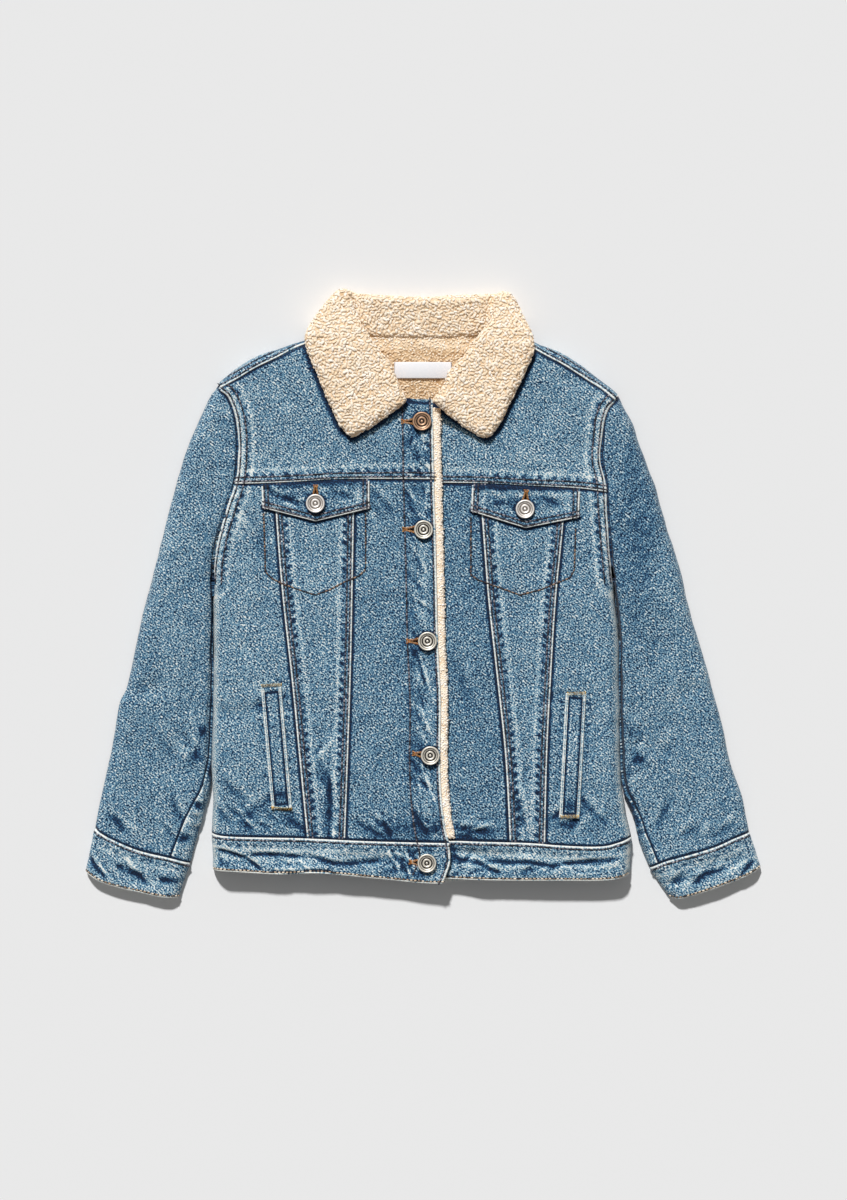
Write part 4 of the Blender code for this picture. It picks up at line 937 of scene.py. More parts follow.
def struck(tree: BVHTree, x: float, y: float) -> tuple[Vector | None, Vector | None]:
    """Look straight down at a place of the plan.

    Args:
        tree: the pieces' search tree.
        x: the place's x in mm.
        y: its y in mm.

    Returns:
        Where the look meets the cloth, in metres, and the way the cloth faces there, or None twice.
    """
    return tree.ray_cast(Vector((x * MM, y * MM, SIGHT * MM)), Vector((0, 0, -1)))[:2]


def dress(piece: Piece, node: str | None = None, slot: str | None = None) -> Piece:
    """Let a piece ride the body, in a node's stead where it has one, and report it. The slot is not used."""
    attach(piece, BODY)
    if node:
        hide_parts(node)
    LOG.info("%s: %d faces", piece.name, len(piece.data.polygons))
    return piece


class Web:
    """A node tree that is built node by node."""

    def __init__(self, tree: bpy.types.NodeTree, *families: str) -> None:
        """Take the tree and the families that its nodes' type names start with."""
        self.tree, self.families = tree, families

    def add(self, kind: str, stops: Sequence = (), **given: object) -> Node:
        """Add a node.

        Args:
            kind: its type, without its family.
            stops: a colour ramp's places and hex colours.
            given: its settings and inputs, as for give.

        Returns:
            The node.
        """
        family = next(each for each in self.families if hasattr(bpy.types, each + kind))
        node = self.tree.nodes.new(family + kind)
        while stops and len(node.color_ramp.elements) < len(stops):
            node.color_ramp.elements.new(0.5)
        for k, (place, colour) in enumerate(stops):
            element = node.color_ramp.elements[k]
            element.position, element.color = place, linear(colour)
        return self.give(node, **given)

    def give(self, node: Node, **given: object) -> Node:
        """Give a node its settings and inputs.

        Args:
            node: the node.
            given: settings by their own names, and inputs by theirs, with _ for spaces, or by i and a
                number. An input is a value, a socket, or a node whose first output in use is meant.

        Returns:
            The node.
        """
        for name, value in given.items():
            numbered = name[0] == "i" and name[1:].isdigit()
            if name.islower() and not numbered:
                setattr(node, name, value)
                continue
            socket = node.inputs[int(name[1:]) if numbered else name.replace("_", " ")]
            if isinstance(value, Node):
                value = next(each for each in value.outputs if each.enabled)
            if isinstance(value, bpy.types.NodeSocket):
                self.tree.links.new(value, socket)
            else:
                socket.default_value = value
        return node

    def weighted(self, start: object, *parts: tuple[object, float]) -> Node:
        """A start value with others added to it, each less a half and times its weight."""
        for value, weight in parts:
            centred = self.add("Math", operation="SUBTRACT", i0=value, i1=0.5)
            start = self.add("Math", operation="MULTIPLY_ADD", i0=centred, i1=weight, i2=start)
        return start


@dataclass(frozen=True)
class Rim:
    """A folded edge of cloth: its radius and how far it goes back under."""

    radius: float
    back: float = 2.5

    def steps(self) -> Array:
        """How far out and how far down, in mm, for each step round it and back."""
        turn = np.radians([40, 80, 120, 160, 180])
        rounded = np.stack([self.radius * np.sin(turn), self.radius * (1 - np.cos(turn))], axis=1)
        return np.vstack([rounded, [-self.back, 2 * self.radius]])


def hemmed(points: Array, normals: Array, rims: dict[str, Rim]) -> tuple[Array, list]:
    """Carry a grid round the folded edges at its sides.

    Args:
        points: rows by columns by 3, in mm.
        normals: their outward directions.
        rims: the rim of each folded side, by "upper", "lower", "first" and "last".

    Returns:
        The larger grid, and for each axis how many lines were put before and after it.
    """
    added = []
    for axis, names in ((0, ("upper", "lower")), (1, ("first", "last"))):
        counts = [0, 0]
        for place, (name, end, inner) in enumerate(zip(names, (0, -1), (1, -2))):
            if name not in rims:
                continue
            steps = rims[name].steps()
            edge, inside = points.take([end], axis), points.take([inner], axis)
            normal = normals.take([end], axis)
            shape = [1, 1, 1]
            shape[axis] = len(steps)
            band = edge + steps[:, 0].reshape(shape) * unit(edge - inside) - steps[:, 1].reshape(shape) * normal
            wide = np.repeat(normal, len(steps), axis)
            if end == 0:
                band = np.flip(band, axis)
            points = np.concatenate((band, points) if end == 0 else (points, band), axis)
            normals = np.concatenate((wide, normals) if end == 0 else (normals, wide), axis)
            counts[place] = len(steps)
        added.append(tuple(counts))
    return points, added


def normals_of(base: Array) -> Array:
    """The directions of a grid's faces, as its rows' way down by its columns' way across."""
    down, across = np.gradient(base, axis=(0, 1))
    return unit(np.cross(down, across))


def facing(base: Array, column: int | None = None, sign: int = 1) -> tuple[Array, bool]:
    """A grid with its columns turned round where that makes it face up (1) or down (-1).

    Args:
        base: the grid.
        column: the column that is looked at, or the middle one.
        sign: the way that this column faces.

    Returns:
        The grid, and whether it was turned round.
    """
    column = base.shape[1] // 2 if column is None else column
    turned = normals_of(base)[:, column, 2].mean() * sign < 0
    return (base[:, ::-1] if turned else base), turned


def chart_of(base: Array) -> Array:
    """Places on the spread-out cloth in mm, which leave the plan's where the cloth turns down."""
    plan = base[..., :2]
    chart = plan.copy()
    for axis in (1, 0):
        steps = np.diff(base, axis=axis)
        extra = np.linalg.norm(steps, axis=2) - np.linalg.norm(steps[..., :2], axis=2)
        run = np.cumsum(extra, axis=axis)
        run = np.concatenate([np.zeros_like(run.take([0], axis)), run], axis=axis)
        run -= run.take([base.shape[axis] // 2], axis)
        chart += run[..., None] * unit(np.gradient(plan, axis=axis))
    return chart


def cut_of(base: Array, closed: bool) -> tuple[float, float, float]:
    """The width, length and area in metres that a grid of cloth was cut to, with its turnings."""
    whole = np.concatenate([base, base[:, :1]], axis=1) if closed else base
    down, across = np.diff(whole, axis=0), np.diff(whole, axis=1)
    width = float(np.linalg.norm(across, axis=2).sum(axis=1).mean()) + 2 * TURNING
    length = float(np.linalg.norm(down, axis=2).sum(axis=0).mean()) + 2 * TURNING
    area = float(np.linalg.norm(np.cross(down[:, :-1], across[:-1]), axis=2).sum())
    area = min(area + 2 * TURNING * (width + length - 4 * TURNING), width * length)
    return width * MM, length * MM, area * MM * MM


@dataclass
class Cloth:
    """One cut piece of cloth.

    Fields: its node's name, its base as rows by columns by 3 in mm, a place well inside it, the seams
    and edges that mark it, the rims of its folded sides, what it lies on, which is not used, what else
    is done to its relief, how far it is moved out, how much paler it is than the others, whether it
    goes right round, and whether its face is on the floor.
    """

    name: str
    base: Array
    middle: Array
    seams: Sequence[Side]
    rims: dict[str, Rim]
    rests_on: str
    detail: Callable[[Relief], None] | None = None
    lift: float = 0.0
    tone: float = 0.0
    closed: bool = False
    floored: bool = False

    def make(self, finish: Material) -> Piece:
        """Its object, a laid sheet that stands for its node."""
        relief = Relief(self.base[..., :2])
        relief.wash += self.tone
        for side in self.seams:
            relief.sew(side, self.middle, round(side.line.length) % 7)
        if self.detail:
            self.detail(relief)
        normals = normals_of(self.base)
        if self.floored:
            height = np.clip(FLOOR_PLAY - 0.4 * relief.lift, 0, 3 * FLOOR_PLAY)
            points = self.base + np.dstack([0 * height, 0 * height, height])
        else:
            clear = ease(self.base[..., 2], 1.0, 4.5)
            points = self.base + (self.lift + relief.lift * clear)[..., None] * normals
        points, added = hemmed(points, normals, self.rims)
        wash = np.pad(relief.wash, added, mode="edge")
        chart = np.pad(chart_of(self.base), [*added, (0, 0)], mode="edge")
        made = grid_object(self.name + "_cloth", points, chart, wash, finish, self.closed)
        dress(made, self.name, "washed_denim")
        width, length, area = cut_of(self.base, self.closed)
        LOG.info("%s: cut %.0f x %.0f mm, %.4f m2", made.name, width / MM, length / MM, area)
        return made


def grid_object(name: str, points: Array, chart: Array, wash: Array, finish: Material,
                closed: bool = False) -> Piece:
    """A mesh object of a grid, with its chart as a UV map and its fading as an attribute.

    Args:
        name: the object's name.
        points: rows by columns by 3, in mm.
        chart: the places on the spread-out cloth, in mm.
        wash: how far each point has faded, from 0 to 1, with painted shade and light in it.
        finish: its material.
        closed: whether the last column joins the first.

    Returns:
        The object, linked to the scene.
    """
    lines, columns = wash.shape
    index = np.arange(lines * columns).reshape(lines, columns)
    chart = chart.astype(float)
    if closed:
        index = np.hstack([index, index[:, :1]])
        chart = np.hstack([chart, 2 * chart[:, -1:] - chart[:, -2:-1]])
    local = np.arange(index.size).reshape(index.shape)
    mesh = faced(name, (points.reshape(-1, 3) * MM).tolist(), quads(index))
    valued(mesh, "wash", np.clip(wash, 0, 1).ravel())
    corners = (chart.reshape(-1, 2) * MM)[np.ravel(quads(local))]
    mesh.uv_layers.new(name="UVMap").data.foreach_set("uv", corners.ravel())
    mesh.materials.append(finish)
    return put(name, mesh)


def laid(patch: Patch, form: Callable[[Array], Array], sides: dict[str, Side],
         pitch: float, radius: float) -> tuple[Array, dict[str, Rim]]:
    """The grid of a piece on the garment's form, close together where its seams are.

    Args:
        patch: the piece's place in the plan.
        form: the height of its face over places.
        sides: its sides by "upper", "lower", "a" and "b".
        pitch: the spacing in mm away from the seams.
        radius: the radius of its folded edges.

    Returns:
        The grid in mm, facing up, and the rims of its folded sides.
    """
    near = {}
    for name, side in sides.items():
        found = stations(side.edge, patch.width if name in ("a", "b") else patch.depth)
        if side.edge in (Edge.LAP, Edge.OPEN):
            found = [radius] + [each for each in found if each > radius + 0.3]
        near[name] = found
    columns = max(int((patch.width - near["a"][-1] - near["b"][-1]) / pitch), 2)
    lines = max(int((patch.depth - near["upper"][-1] - near["lower"][-1]) / pitch), 2)
    down = spread(np.array([patch.depth]), near["upper"], near["lower"], lines)[0]
    widths = np.linalg.norm(patch.at(0 * down, down) - patch.at(0 * down + 1, down), axis=1)
    u = spread(widths, near["a"], near["b"], columns)
    middle = np.clip(u.mean(axis=0), 0, 1)
    depths = (1 - middle) * patch.a.length + middle * patch.b.length
    v = spread(depths, near["upper"], near["lower"], lines).T
    places = patch.at(u, v)
    base, turned = facing(np.dstack([places, form(places)]))
    ends = ("b", "a") if turned else ("a", "b")
    names = {"upper": "upper", "lower": "lower", "first": ends[0], "last": ends[1]}
    rims = {end: Rim(radius) for end, name in names.items() if sides[name].edge is not Edge.UNDER}
    return base, rims


class Turn:
    """Cloth that lies on the floor and turns up round a patch's side b, at shares v down it."""

    def __init__(self, patch: Patch, form: Callable[[Array], Array], v: Array) -> None:
        """Read the edge it turns round."""
        self.patch, self.form, self.v = patch, form, v
        self.edge = patch.at(0 * v + 1, v)
        self.inward = unit(patch.at(0 * v + 1 - TURN_LOOK / patch.width, v) - self.edge)
        self.width = np.linalg.norm(patch.at(0 * v, v) - self.edge, axis=1)

    def floor(self, share: float) -> Array:
        """Its points on the floor at a share of the flat part."""
        places = self.patch.at(share * (1 - TURN_INSET / self.width), self.v)
        return np.column_stack([places, 0 * self.v])

    def turn(self, angle: float) -> Array:
        """Its points at an angle in degrees as it leaves the floor."""
        inset = TURN_INSET * (1 - math.sin(math.radians(angle)))
        places = self.edge + inset * self.inward
        return np.column_stack([places, 0 * self.v + TURN_RISE * (1 - math.cos(math.radians(angle)))])

    def top(self, away: Array | float) -> Array:
        """Its points on the form, this many mm from the edge."""
        places = self.patch.at(1 - away / self.width, self.v)
        return np.column_stack([places, self.form(places)])


def marks(*zones: str) -> Callable[[Relief], None]:
    """What gives a piece the creases, the crinkles and the faded spots of its zones."""
    def apply(relief: Relief) -> None:
        """Work each zone's tables into the relief."""
        for zone in zones:
            relief.crease(CREASES[zone])
            relief.crease(crinkled(CRINKLES[zone], SEED + len(zone)))
            relief.fold(FOLD_LINES.get(zone, ()))
            relief.fade(PATCHES[zone])
    return apply


def paint_button_shade(relief: Relief) -> None:
    """Paint shade on the cloth round every button's rim."""
    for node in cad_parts:
        if "button" in node:
            away = np.linalg.norm(relief.places - centre_of(node), axis=-1)
            relief.wash -= 0.5 * (1 - ease(away, *BUTTON_SHADE_REACH))


@dataclass
class Assembly:
    """A part of the jacket: its cloth's finish, and its pieces by their nodes' names."""

    finish: Material
    pieces: dict[str, Piece] = field(default_factory=dict, kw_only=True)

    def keep(self, node: str, base: Array, middle: Array, seams: Sequence[Side], rims: dict[str, Rim],
             rests_on: str, **more: object) -> None:
        """Make one piece of cloth and keep its object."""
        self.pieces[node] = Cloth(node, base, middle, seams, rims, rests_on, **more).make(self.finish)


@dataclass
class Front(Assembly):
    """A front: its yoke, its three lower panels, its waistband, its chest flap and its hand pocket."""

    side: str
    pitch: float = 1.5
    band: float = 9.5
    stand: float = 27.5

    def __post_init__(self) -> None:
        """Name the seams and edges that its pieces share."""
        at = self.side
        self.armhole = Side(Plan.armhole[at], Edge.LAP, self.band)
        # the fallen side: its wall lightened with painted light against its shade
        self.fall = Side(Plan.body_side[at], Edge.FALL, pale=1.32)
        self.outer, self.inner = (Side(line[at], Edge.LAP, self.band - 2, (2.2, 5.2), 0.5)
                                  for line in (Plan.outer_taper, Plan.inner_taper))
        self.yoke = Side(Plan.yoke_seam[at], Edge.LAP, self.band - 2, (2.2, 5.8))
        self.waist = Side(Plan.waist_seam[at], Edge.LAP, 6.5, (2.6,), 0.38)
        self.hem = Side(Plan.hem[at], Edge.OPEN, 8.0, (1.9,), 0.34)
        self.edge = Side(Plan.front_edge[at], Edge.OPEN, 7.0, (2.8,), 0.3 if at == "right" else 0.0)

    def under(self, seam: Side) -> Side:
        """The same seam as the piece that runs on under it has it."""
        return Side(seam.line, Edge.UNDER, seam.band, (), seam.pucker)

    def zones(self, zone: str) -> tuple[str, ...]:
        """A zone of this front, with the stand's on the side that has it."""
        return (zone, "stand") if self.side == "right" else (zone,)

    def form(self, places: Array, proud: float = 0.0) -> Array:
        """The height of the front's face, or of the waistband's, which stands proud."""
        return Form.body(self.side, places, proud)

    def stand_marks(self, relief: Relief) -> None:
        """The front's creases, with the stand's long stitched line and the pocket bag's, and painted shade under the
        collar, under the flap, beside the welt and round the buttons.
        """
        marks(*self.zones("body"))(relief)
        if self.side == "right":
            line = Line(Plan.front_edge["right"].beside(-self.stand))
            relief.groove(line, 0.3, 1.1, 0.24)
            strip = Plan.front_edge["right"].read(relief.places)
            relief.wash -= 0.02 * (1 - ease(strip.away, self.stand - 2, self.stand))
            relief.wash += 0.06 * ripples(strip.along, 1.0) * bump(strip.away, self.stand - 3, 3.0)
        relief.groove(straight(POCKET_BAG[self.side]), 0.16, 1.0, 0.16)
        # painted shadow on the cloth beside the collar's free edge
        collar_shade_away = straight(COLLAR_EDGE[self.side]).distance(relief.places)
        relief.wash -= 0.55 * (1 - ease(collar_shade_away, 1.5, 6.5))
        # painted shadow on the cloth under the chest flap's lower edge
        relief.wash -= 0.5 * (1 - ease(straight(FLAP_TIP[self.side]).distance(relief.places), 0.8, 3.2))
        # painted shade beside the welt's raised edges, in broken stretches
        welt = straight(WELT_LINE[self.side]).read(relief.places)
        welt_shade_breaks = np.clip(ripples(welt.along * 1.25, 2.0) + 0.2, 0, 1)
        relief.wash -= 0.42 * bump(welt.away, WELT_WIDTH / 2 + 2.4, 2.2) * welt_shade_breaks
        paint_button_shade(relief)

    def sew(self, name: str, patch: Patch, sides: Sequence[Side], seams: Sequence[Side] = (), radius: float = 0.8,
            form: Callable | None = None, detail: Callable | None = None, **more: float) -> None:
        """Make one piece from its upper, lower, a and b sides."""
        named = dict(zip(ENDS, sides))
        base, rims = laid(patch, form or self.form, named, self.pitch, radius)
        self.keep(f"{name}_{self.side}", base, patch.inside(), (*sides, *seams), rims, "back",
                  detail=detail or self.stand_marks, **more)

    def make(self) -> None:
        """Make every piece of the front."""
        at = self.side
        upper = Line(smooth(SHOULDER_SEAM[at][::-1], NECKLINE[at]))
        shoulder = Side(upper, Edge.UNDER, 6.0, (), 0.2)
        self.sew("front_yoke", Patch.cut(upper, Plan.yoke_seam[at], Plan.armhole[at], Plan.front_edge[at]),
                 (shoulder, self.yoke, self.fall, self.edge), (self.armhole,), tone=0.02)
        lines = [Plan.body_side[at], Plan.outer_taper[at], Plan.inner_taper[at], Plan.front_edge[at]]
        sides = [[self.fall, self.under(self.outer)], [self.outer, self.inner], [self.under(self.inner), self.edge]]
        extra = [(self.armhole,), (), ()]
        tones = (0.0, 0.0, -0.02 if at == "right" else -0.07)
        for place, name in enumerate(("side", "wedge", "centre")):
            patch = Patch.cut(Plan.yoke_seam[at], Plan.waist_seam[at], *lines[place:place + 2])
            self.sew(f"front_{name}", patch, (self.under(self.yoke), self.under(self.waist), *sides[place]),
                     extra[place], tone=tones[place])
        self.sew("waistband", Patch.cut(Plan.waist_seam[at], Plan.hem[at], lines[0], lines[-1]),
                 (self.waist, self.hem, self.fall, self.edge), radius=1.0, tone=0.02,
                 form=partial(self.form, proud=BAND_PROUD), detail=marks(*self.zones("band")))
        self.make_flap()
        self.make_welt()

    def make_flap(self) -> None:
        """The chest flap, whose top goes into the yoke's seam."""
        at = self.side
        upper, lower = Line(smooth(FLAP_TOP[at])), straight(FLAP_TIP[at])
        ends = [straight([upper.at(k), lower.at(k)]) for k in (0.0, 1.0)]
        tucked = Side(Plan.yoke_seam[at], Edge.UNDER, 8.0, (), 0.3, sink=FLAP + PIECE_GAP + 1.0)
        free = [Side(line, Edge.OPEN, 7.0, FLAP_ROWS, 0.3, pale=1.2) for line in (lower, *ends)]
        self.sew("pocket_flap", Patch(upper, lower, *ends), (tucked, *free), lift=FLAP + PIECE_GAP, radius=0.9,
                 detail=self.flap_marks)

    def flap_marks(self, relief: Relief) -> None:
        """The flap's creases, its pale band below the seam, the painted shade just under the yoke's edge and the
        painted shade around the button.
        """
        marks("flap")(relief)
        drop = Line(smooth(FLAP_TOP[self.side])).distance(relief.places)
        # the pale band, and painted shade in a strip under the yoke's edge
        relief.wash += 0.15 * bump(drop, 6.2, 2.4) - 0.2 * (1 - ease(drop, 2.4, 4.2))
        paint_button_shade(relief)

    def make_welt(self) -> None:
        """The hand pocket: a pale lip at each side, a slot inside it with painted shade, and a strip between."""
        at = self.side
        top, foot = (np.array(row, float) for row in WELT_LINE[at])
        along = unit(foot - top)
        top, foot = top - WELT_REACH * along, foot + WELT_REACH * along
        half = left_of(along) * WELT_WIDTH / 2
        corner = [[top - half, top + half], [foot - half, foot + half],
                  [top - half, foot - half], [top + half, foot + half]]
        upper, lower, a, b = (straight(pair) for pair in corner)
        middle = straight([top, foot])

        def lips(relief: Relief) -> None:
            """Raise the lips and the strip, sink the slots between them, and paint shade in the slots and at their
            ends.
            """
            across = middle.read(relief.places)
            out = WELT_WIDTH / 2 - across.away
            ends = ease(across.along, 2.5, 4.5) * (1 - ease(across.along, middle.length - 4.5, middle.length - 2.5))
            inner = 1 - ease(across.away, 4.6, 5.4)
            sill = bump(np.minimum(across.along, middle.length - across.along), 4.2, 1.1) * inner
            relief.lift += 0.5 * bump(out, 1.3, 1.0) - 0.9 * ends * bump(out, 3.3, 0.9) - 0.6 * sill
            relief.lift += 0.3 * bump(across.away, 2.4, 1.4)
            # pale lips; painted shade in the slots and at their ends
            relief.wash += 0.5 * bump(out, 1.0, 0.9) - 1.3 * ends * bump(out, 3.3, 1.1) - 1.0 * sill
            relief.wash += 0.2 * bump(out, 5.2, 0.6) * ends + 0.05 * ripples(across.along, 3.0)
            relief.wash -= 0.34 * bump(across.along, middle.length - 12, 5) * inner

        edges = [Side(line, Edge.OPEN, 1.6, (), 0.12, pale=0.0) for line in (upper, lower, a, b)]
        base, rims = laid(Patch(upper, lower, a, b), self.form, dict(zip(ENDS, edges)), 1.0, 0.6)
        self.keep(f"welt_{at}", base, middle.at(0.5), edges, rims, f"front_side_{at}", detail=lips,
                  lift=WELT + PIECE_GAP)


@dataclass
class Back(Assembly):
    """The back on the floor: its panel, its part of the waistband and its yoke over the shoulders."""

    pitch: float = 4.0
    inset: float = 0.9
    neck_reach: float = 14.0

    def make(self) -> None:
        """Make the three pieces."""
        waist = Line(smooth(WAIST_SEAM["right"][:-1], WAIST_SEAM["left"][:-1][::-1]))
        hem = Line(smooth(HEM["right"][:-1], HEM["left"][:-1][::-1]))
        sides = [Line(Plan.body_side[s].points - [SIDES[s] * self.inset, 0]) for s in SIDES]
        plain = [Side(line, Edge.OPEN, 3.0, (), 0.0) for line in sides]
        for name, upper, lower in (
            ("back", Side(Plan.back_yoke_seam, Edge.LAP), Side(waist, Edge.LAP, 6.5)),
            ("waistband_back", Side(waist, Edge.LAP, 6.5, (2.1,)), Side(hem, Edge.OPEN, 8.0, (2.4, 7.2))),
        ):
            patch = Patch.cut(upper.line, lower.line, *sides)
            seams = [upper, lower, *plain]
            base, rims = laid(patch, lambda places: 0 * places[..., 0], dict(zip(ENDS, seams)), self.pitch, 0.7)
            self.keep(name, base[:, ::-1], patch.inside(), [*seams, *self.princess()], rims, "floor", floored=True)
        self.make_yoke()

    def princess(self) -> list[Side]:
        """The back's two upright seams."""
        return [Side(straight([(sign * 88, 118), (sign * 52, -225)]), Edge.LAP, 9.0) for sign in SIDES.values()]

    def make_yoke(self) -> None:
        """The yoke lies on the floor and comes over each shoulder to its seam, but ends flat at the neck."""
        seam = Plan.back_yoke_seam
        ends = [Plan.armhole[s].part(Plan.armhole[s].share_where_it_meets(seam), 0.0) for s in SIDES]
        patch = Patch(*ends, seam.between(Plan.armhole["right"], Plan.armhole["left"]), Plan.neck_edge)
        span = float(np.linalg.norm(Plan.neck_edge.at(1.0) - Plan.neck_edge.at(0.0)))
        v = np.linspace(2 * self.inset / span, 1 - 2 * self.inset / span, 180)
        turn = Turn(patch, lambda places: self.halves(places, lambda side: Form.body(side, places)), v)
        reach = self.halves(turn.edge, lambda side: Plan.shoulder_seam[side].distance(turn.edge))
        reach = np.maximum(reach - 0.8, 1.0)
        floor = list(np.linspace(0, 1, 26))
        angles = range(15, 91, 15)
        climbs = (0.03, 0.08, 0.15, 0.24, 0.34, 0.45, 0.57, 0.69, 0.8, 0.9, 1.0)
        climbed = [turn.floor(share) for share in floor] + [turn.turn(angle) for angle in angles]
        climbed += [turn.top(share * reach) for share in climbs]
        count = len(angles) + len(climbs)
        level = []
        for share in [*(np.array(floor) * (1 - self.neck_reach / turn.width[:, None])).T,
                      *(1 - self.neck_reach / turn.width * (1 - (k + 1) / count) for k in range(count))]:
            level.append(np.column_stack([patch.at(share, v), 0 * v]))
        over = ease(abs(turn.edge[:, 0]), *NECK_HALF)[:, None, None]
        base = over * np.stack(climbed, axis=1) + (1 - over) * np.stack(level, axis=1)
        base, turned = facing(base, 2, -1)
        rims = {"first" if turned else "last": Rim(0.8)}
        edges = [Side(Plan.shoulder_seam[s], Edge.LAP, 7.0, (2.6, 6.4), 0.25) for s in SIDES]
        self.keep("back_yoke", base, np.array([0.0, 400.0]), edges, rims, "floor", tone=0.02)

    @staticmethod
    def halves(places: Array, read: Callable[[str], Array]) -> Array:
        """What is read for each side, on that side's places."""
        return np.where(places[..., 0] < 0, read("right"), read("left"))


@dataclass
class Sleeve(Assembly):
    """A two-piece sleeve and its cuff."""

    side: str
    pitch: float = 1.9

    def __post_init__(self) -> None:
        """Lay out the patch that both of its pieces share, with the under sleeve's edge on it."""
        at = self.side
        self.patch = Patch(Plan.armhole[at], Plan.cuff_seam[at], Plan.sleeve_outer[at], Plan.sleeve_inner[at])
        lines = int(self.patch.depth / self.pitch)
        near = [each / self.patch.depth for each in stations(Edge.UNDER, self.patch.depth)]
        self.v = np.concatenate([near, np.linspace(near[-1], 1 - near[-1], lines)[1:-1],
                                 1 - np.array(near[::-1])])
        self.strip = between_rows(UNDER_STRIP[at], self.v)
        zero = 0 * self.v
        self.width = np.linalg.norm(self.patch.at(zero, self.v) - self.patch.at(zero + 1, self.v), axis=1)
        self.seam = Line(self.patch.at(1 - self.strip / self.width, self.v))
        # pale sets a weaker painted shadow line beside the armhole's lap
        self.armhole = Side(Plan.armhole[at], Edge.UNDER, 9.0, (), 0.42, pale=0.4)
        self.cuff_seam = Side(Plan.cuff_seam[at], Edge.UNDER, 6.5, (), 0.38)

    def form(self, places: Array, proud: float = 0.0) -> Array:
        """The height of the sleeve's face, or of the cuff's, which stands proud."""
        return Form.sleeve(self.side, places, proud)

    def make(self) -> None:
        """Make the top sleeve, the under sleeve and the cuff."""
        self.make_top()
        self.make_under()
        self.make_cuff()

    def make_top(self) -> None:
        """The top sleeve, from its outer edge to under the under sleeve's."""
        fall = np.array(stations(Edge.FALL, self.patch.width))
        inside = np.array([0.6, 1.4, 2.4, 3.6, 5.0, 6.6, 8.4, 10.4])
        strip, width = self.strip[:, None], self.width[:, None]
        tuck = np.minimum(strip - 0.3, 2.2)
        count = int((self.patch.width - 40) / self.pitch)
        share = np.linspace(0, 1, count + 1)[1:-1]
        start = fall[-1] / width
        middle = start + share * (1 - (strip + inside[-1]) / width - start)
        ends = [1 - (strip + more) / width for more in (inside[::-1], 0 * strip, -tuck)]
        u = np.hstack([fall / width, middle, *ends])
        down = self.v[:, None] + 0 * u
        beyond = ease(u * width, 1.0, 9.0)
        places = self.patch.at(u, np.where(down < 0, down * beyond, down))
        base, _ = facing(np.dstack([places, self.form(places)]))
        seam = Side(self.seam, Edge.UNDER, 7.0, (), 0.36)
        self.keep(f"top_sleeve_{self.side}", base, self.patch.inside(0.4), (self.armhole, self.cuff_seam, seam),
                  {}, "floor", detail=marks("sleeve"), tone=-0.005)

    def make_under(self) -> None:
        """The under sleeve, along the floor, round the inner edge and up to its lapped seam."""
        turn = Turn(self.patch, self.form, np.where(self.v < 0, 0.05 * (self.v - self.v[0]), self.v))
        columns = [turn.floor(share) for share in np.linspace(0.0, 1, 22)]
        columns += [turn.turn(angle) for angle in range(15, 91, 15)]
        reach = np.maximum(self.strip - 0.8, 0.5)
        shares = (0.02, 0.06, 0.12, 0.2, 0.3, 0.4, 0.5, 0.6, 0.7, 0.8, 0.9, 1.0)
        columns += [turn.top(share * reach) for share in shares]
        base, turned = facing(np.stack(columns, axis=1), 3, -1)
        lap = Side(self.seam, Edge.LAP, 7.0, (), 0.3, pale=0.45)

        def narrow(relief: Relief) -> None:
            """Crease the strip, and paint shade on it where it is so narrow that it lies in the gap by the body."""
            marks("under")(relief)
            relief.wash -= 0.5 * (1 - ease(self.strip, 3.0, 9.0))[:, None]

        self.keep(f"under_sleeve_{self.side}", base, self.patch.inside(1.02, 0.9),
                  (self.armhole, self.cuff_seam, lap), {"first" if turned else "last": Rim(0.8)}, "floor",
                  detail=narrow)

    def make_cuff(self) -> None:
        """The cuff, which goes right round."""
        at = self.side
        form = partial(self.form, proud=CUFF_PROUD)
        patch = Patch(Plan.cuff_seam[at], Plan.cuff_edge[at], Plan.cuff_outer[at], Plan.cuff_inner[at])
        other = Patch(Line(Plan.cuff_seam[at].points[::-1]), Line(Plan.cuff_edge[at].points[::-1]),
                      Plan.cuff_inner[at], Plan.cuff_outer[at])
        upper = Side(Plan.cuff_seam[at], Edge.LAP, 6.5, (2.6,), 0.38)
        lower = Side(Plan.cuff_edge[at], Edge.OPEN, 8.0, (1.9,), 0.34)
        near = [[1.2] + [each for each in stations(edge, 60.0) if each > 1.5][:6] for edge in (Edge.LAP, Edge.OPEN)]
        v = spread(np.array([patch.depth]), near[0], near[1], 12)[0]
        outer, inner = Turn(other, form, v), Turn(patch, form, v)
        round_over = [BODY_ROUND * (1 - math.cos(math.radians(angle))) for angle in (16, 26, 36, 46, 56, 66, 76, 90)]
        columns = [outer.top(mm) for mm in round_over]
        middle = int((patch.width - 2 * BODY_ROUND) / self.pitch)
        share = np.linspace(0, 1, middle + 1)[1:-1]
        start, end = round_over[-1] / inner.width, 1 - round_over[-1] / inner.width
        for each in share:
            places = patch.at(start + each * (end - start), v)
            columns.append(np.column_stack([places, form(places)]))
        columns += [inner.top(mm) for mm in round_over[::-1]]
        columns += [inner.turn(angle) for angle in range(90, 0, -18)]
        columns += [inner.floor(each) for each in np.linspace(1, 0.08, 18)]
        columns += [outer.turn(angle) for angle in range(0, 91, 18)]
        base, _ = facing(np.stack(columns, axis=1), len(round_over) + middle // 2)
        self.keep(f"cuff_{at}", base, patch.inside(), (upper, lower),
                  {"upper": Rim(1.2, 2.5), "lower": Rim(1.2, 12.0)}, "floor", closed=True,
                  detail=marks("cuff"), tone=0.05)


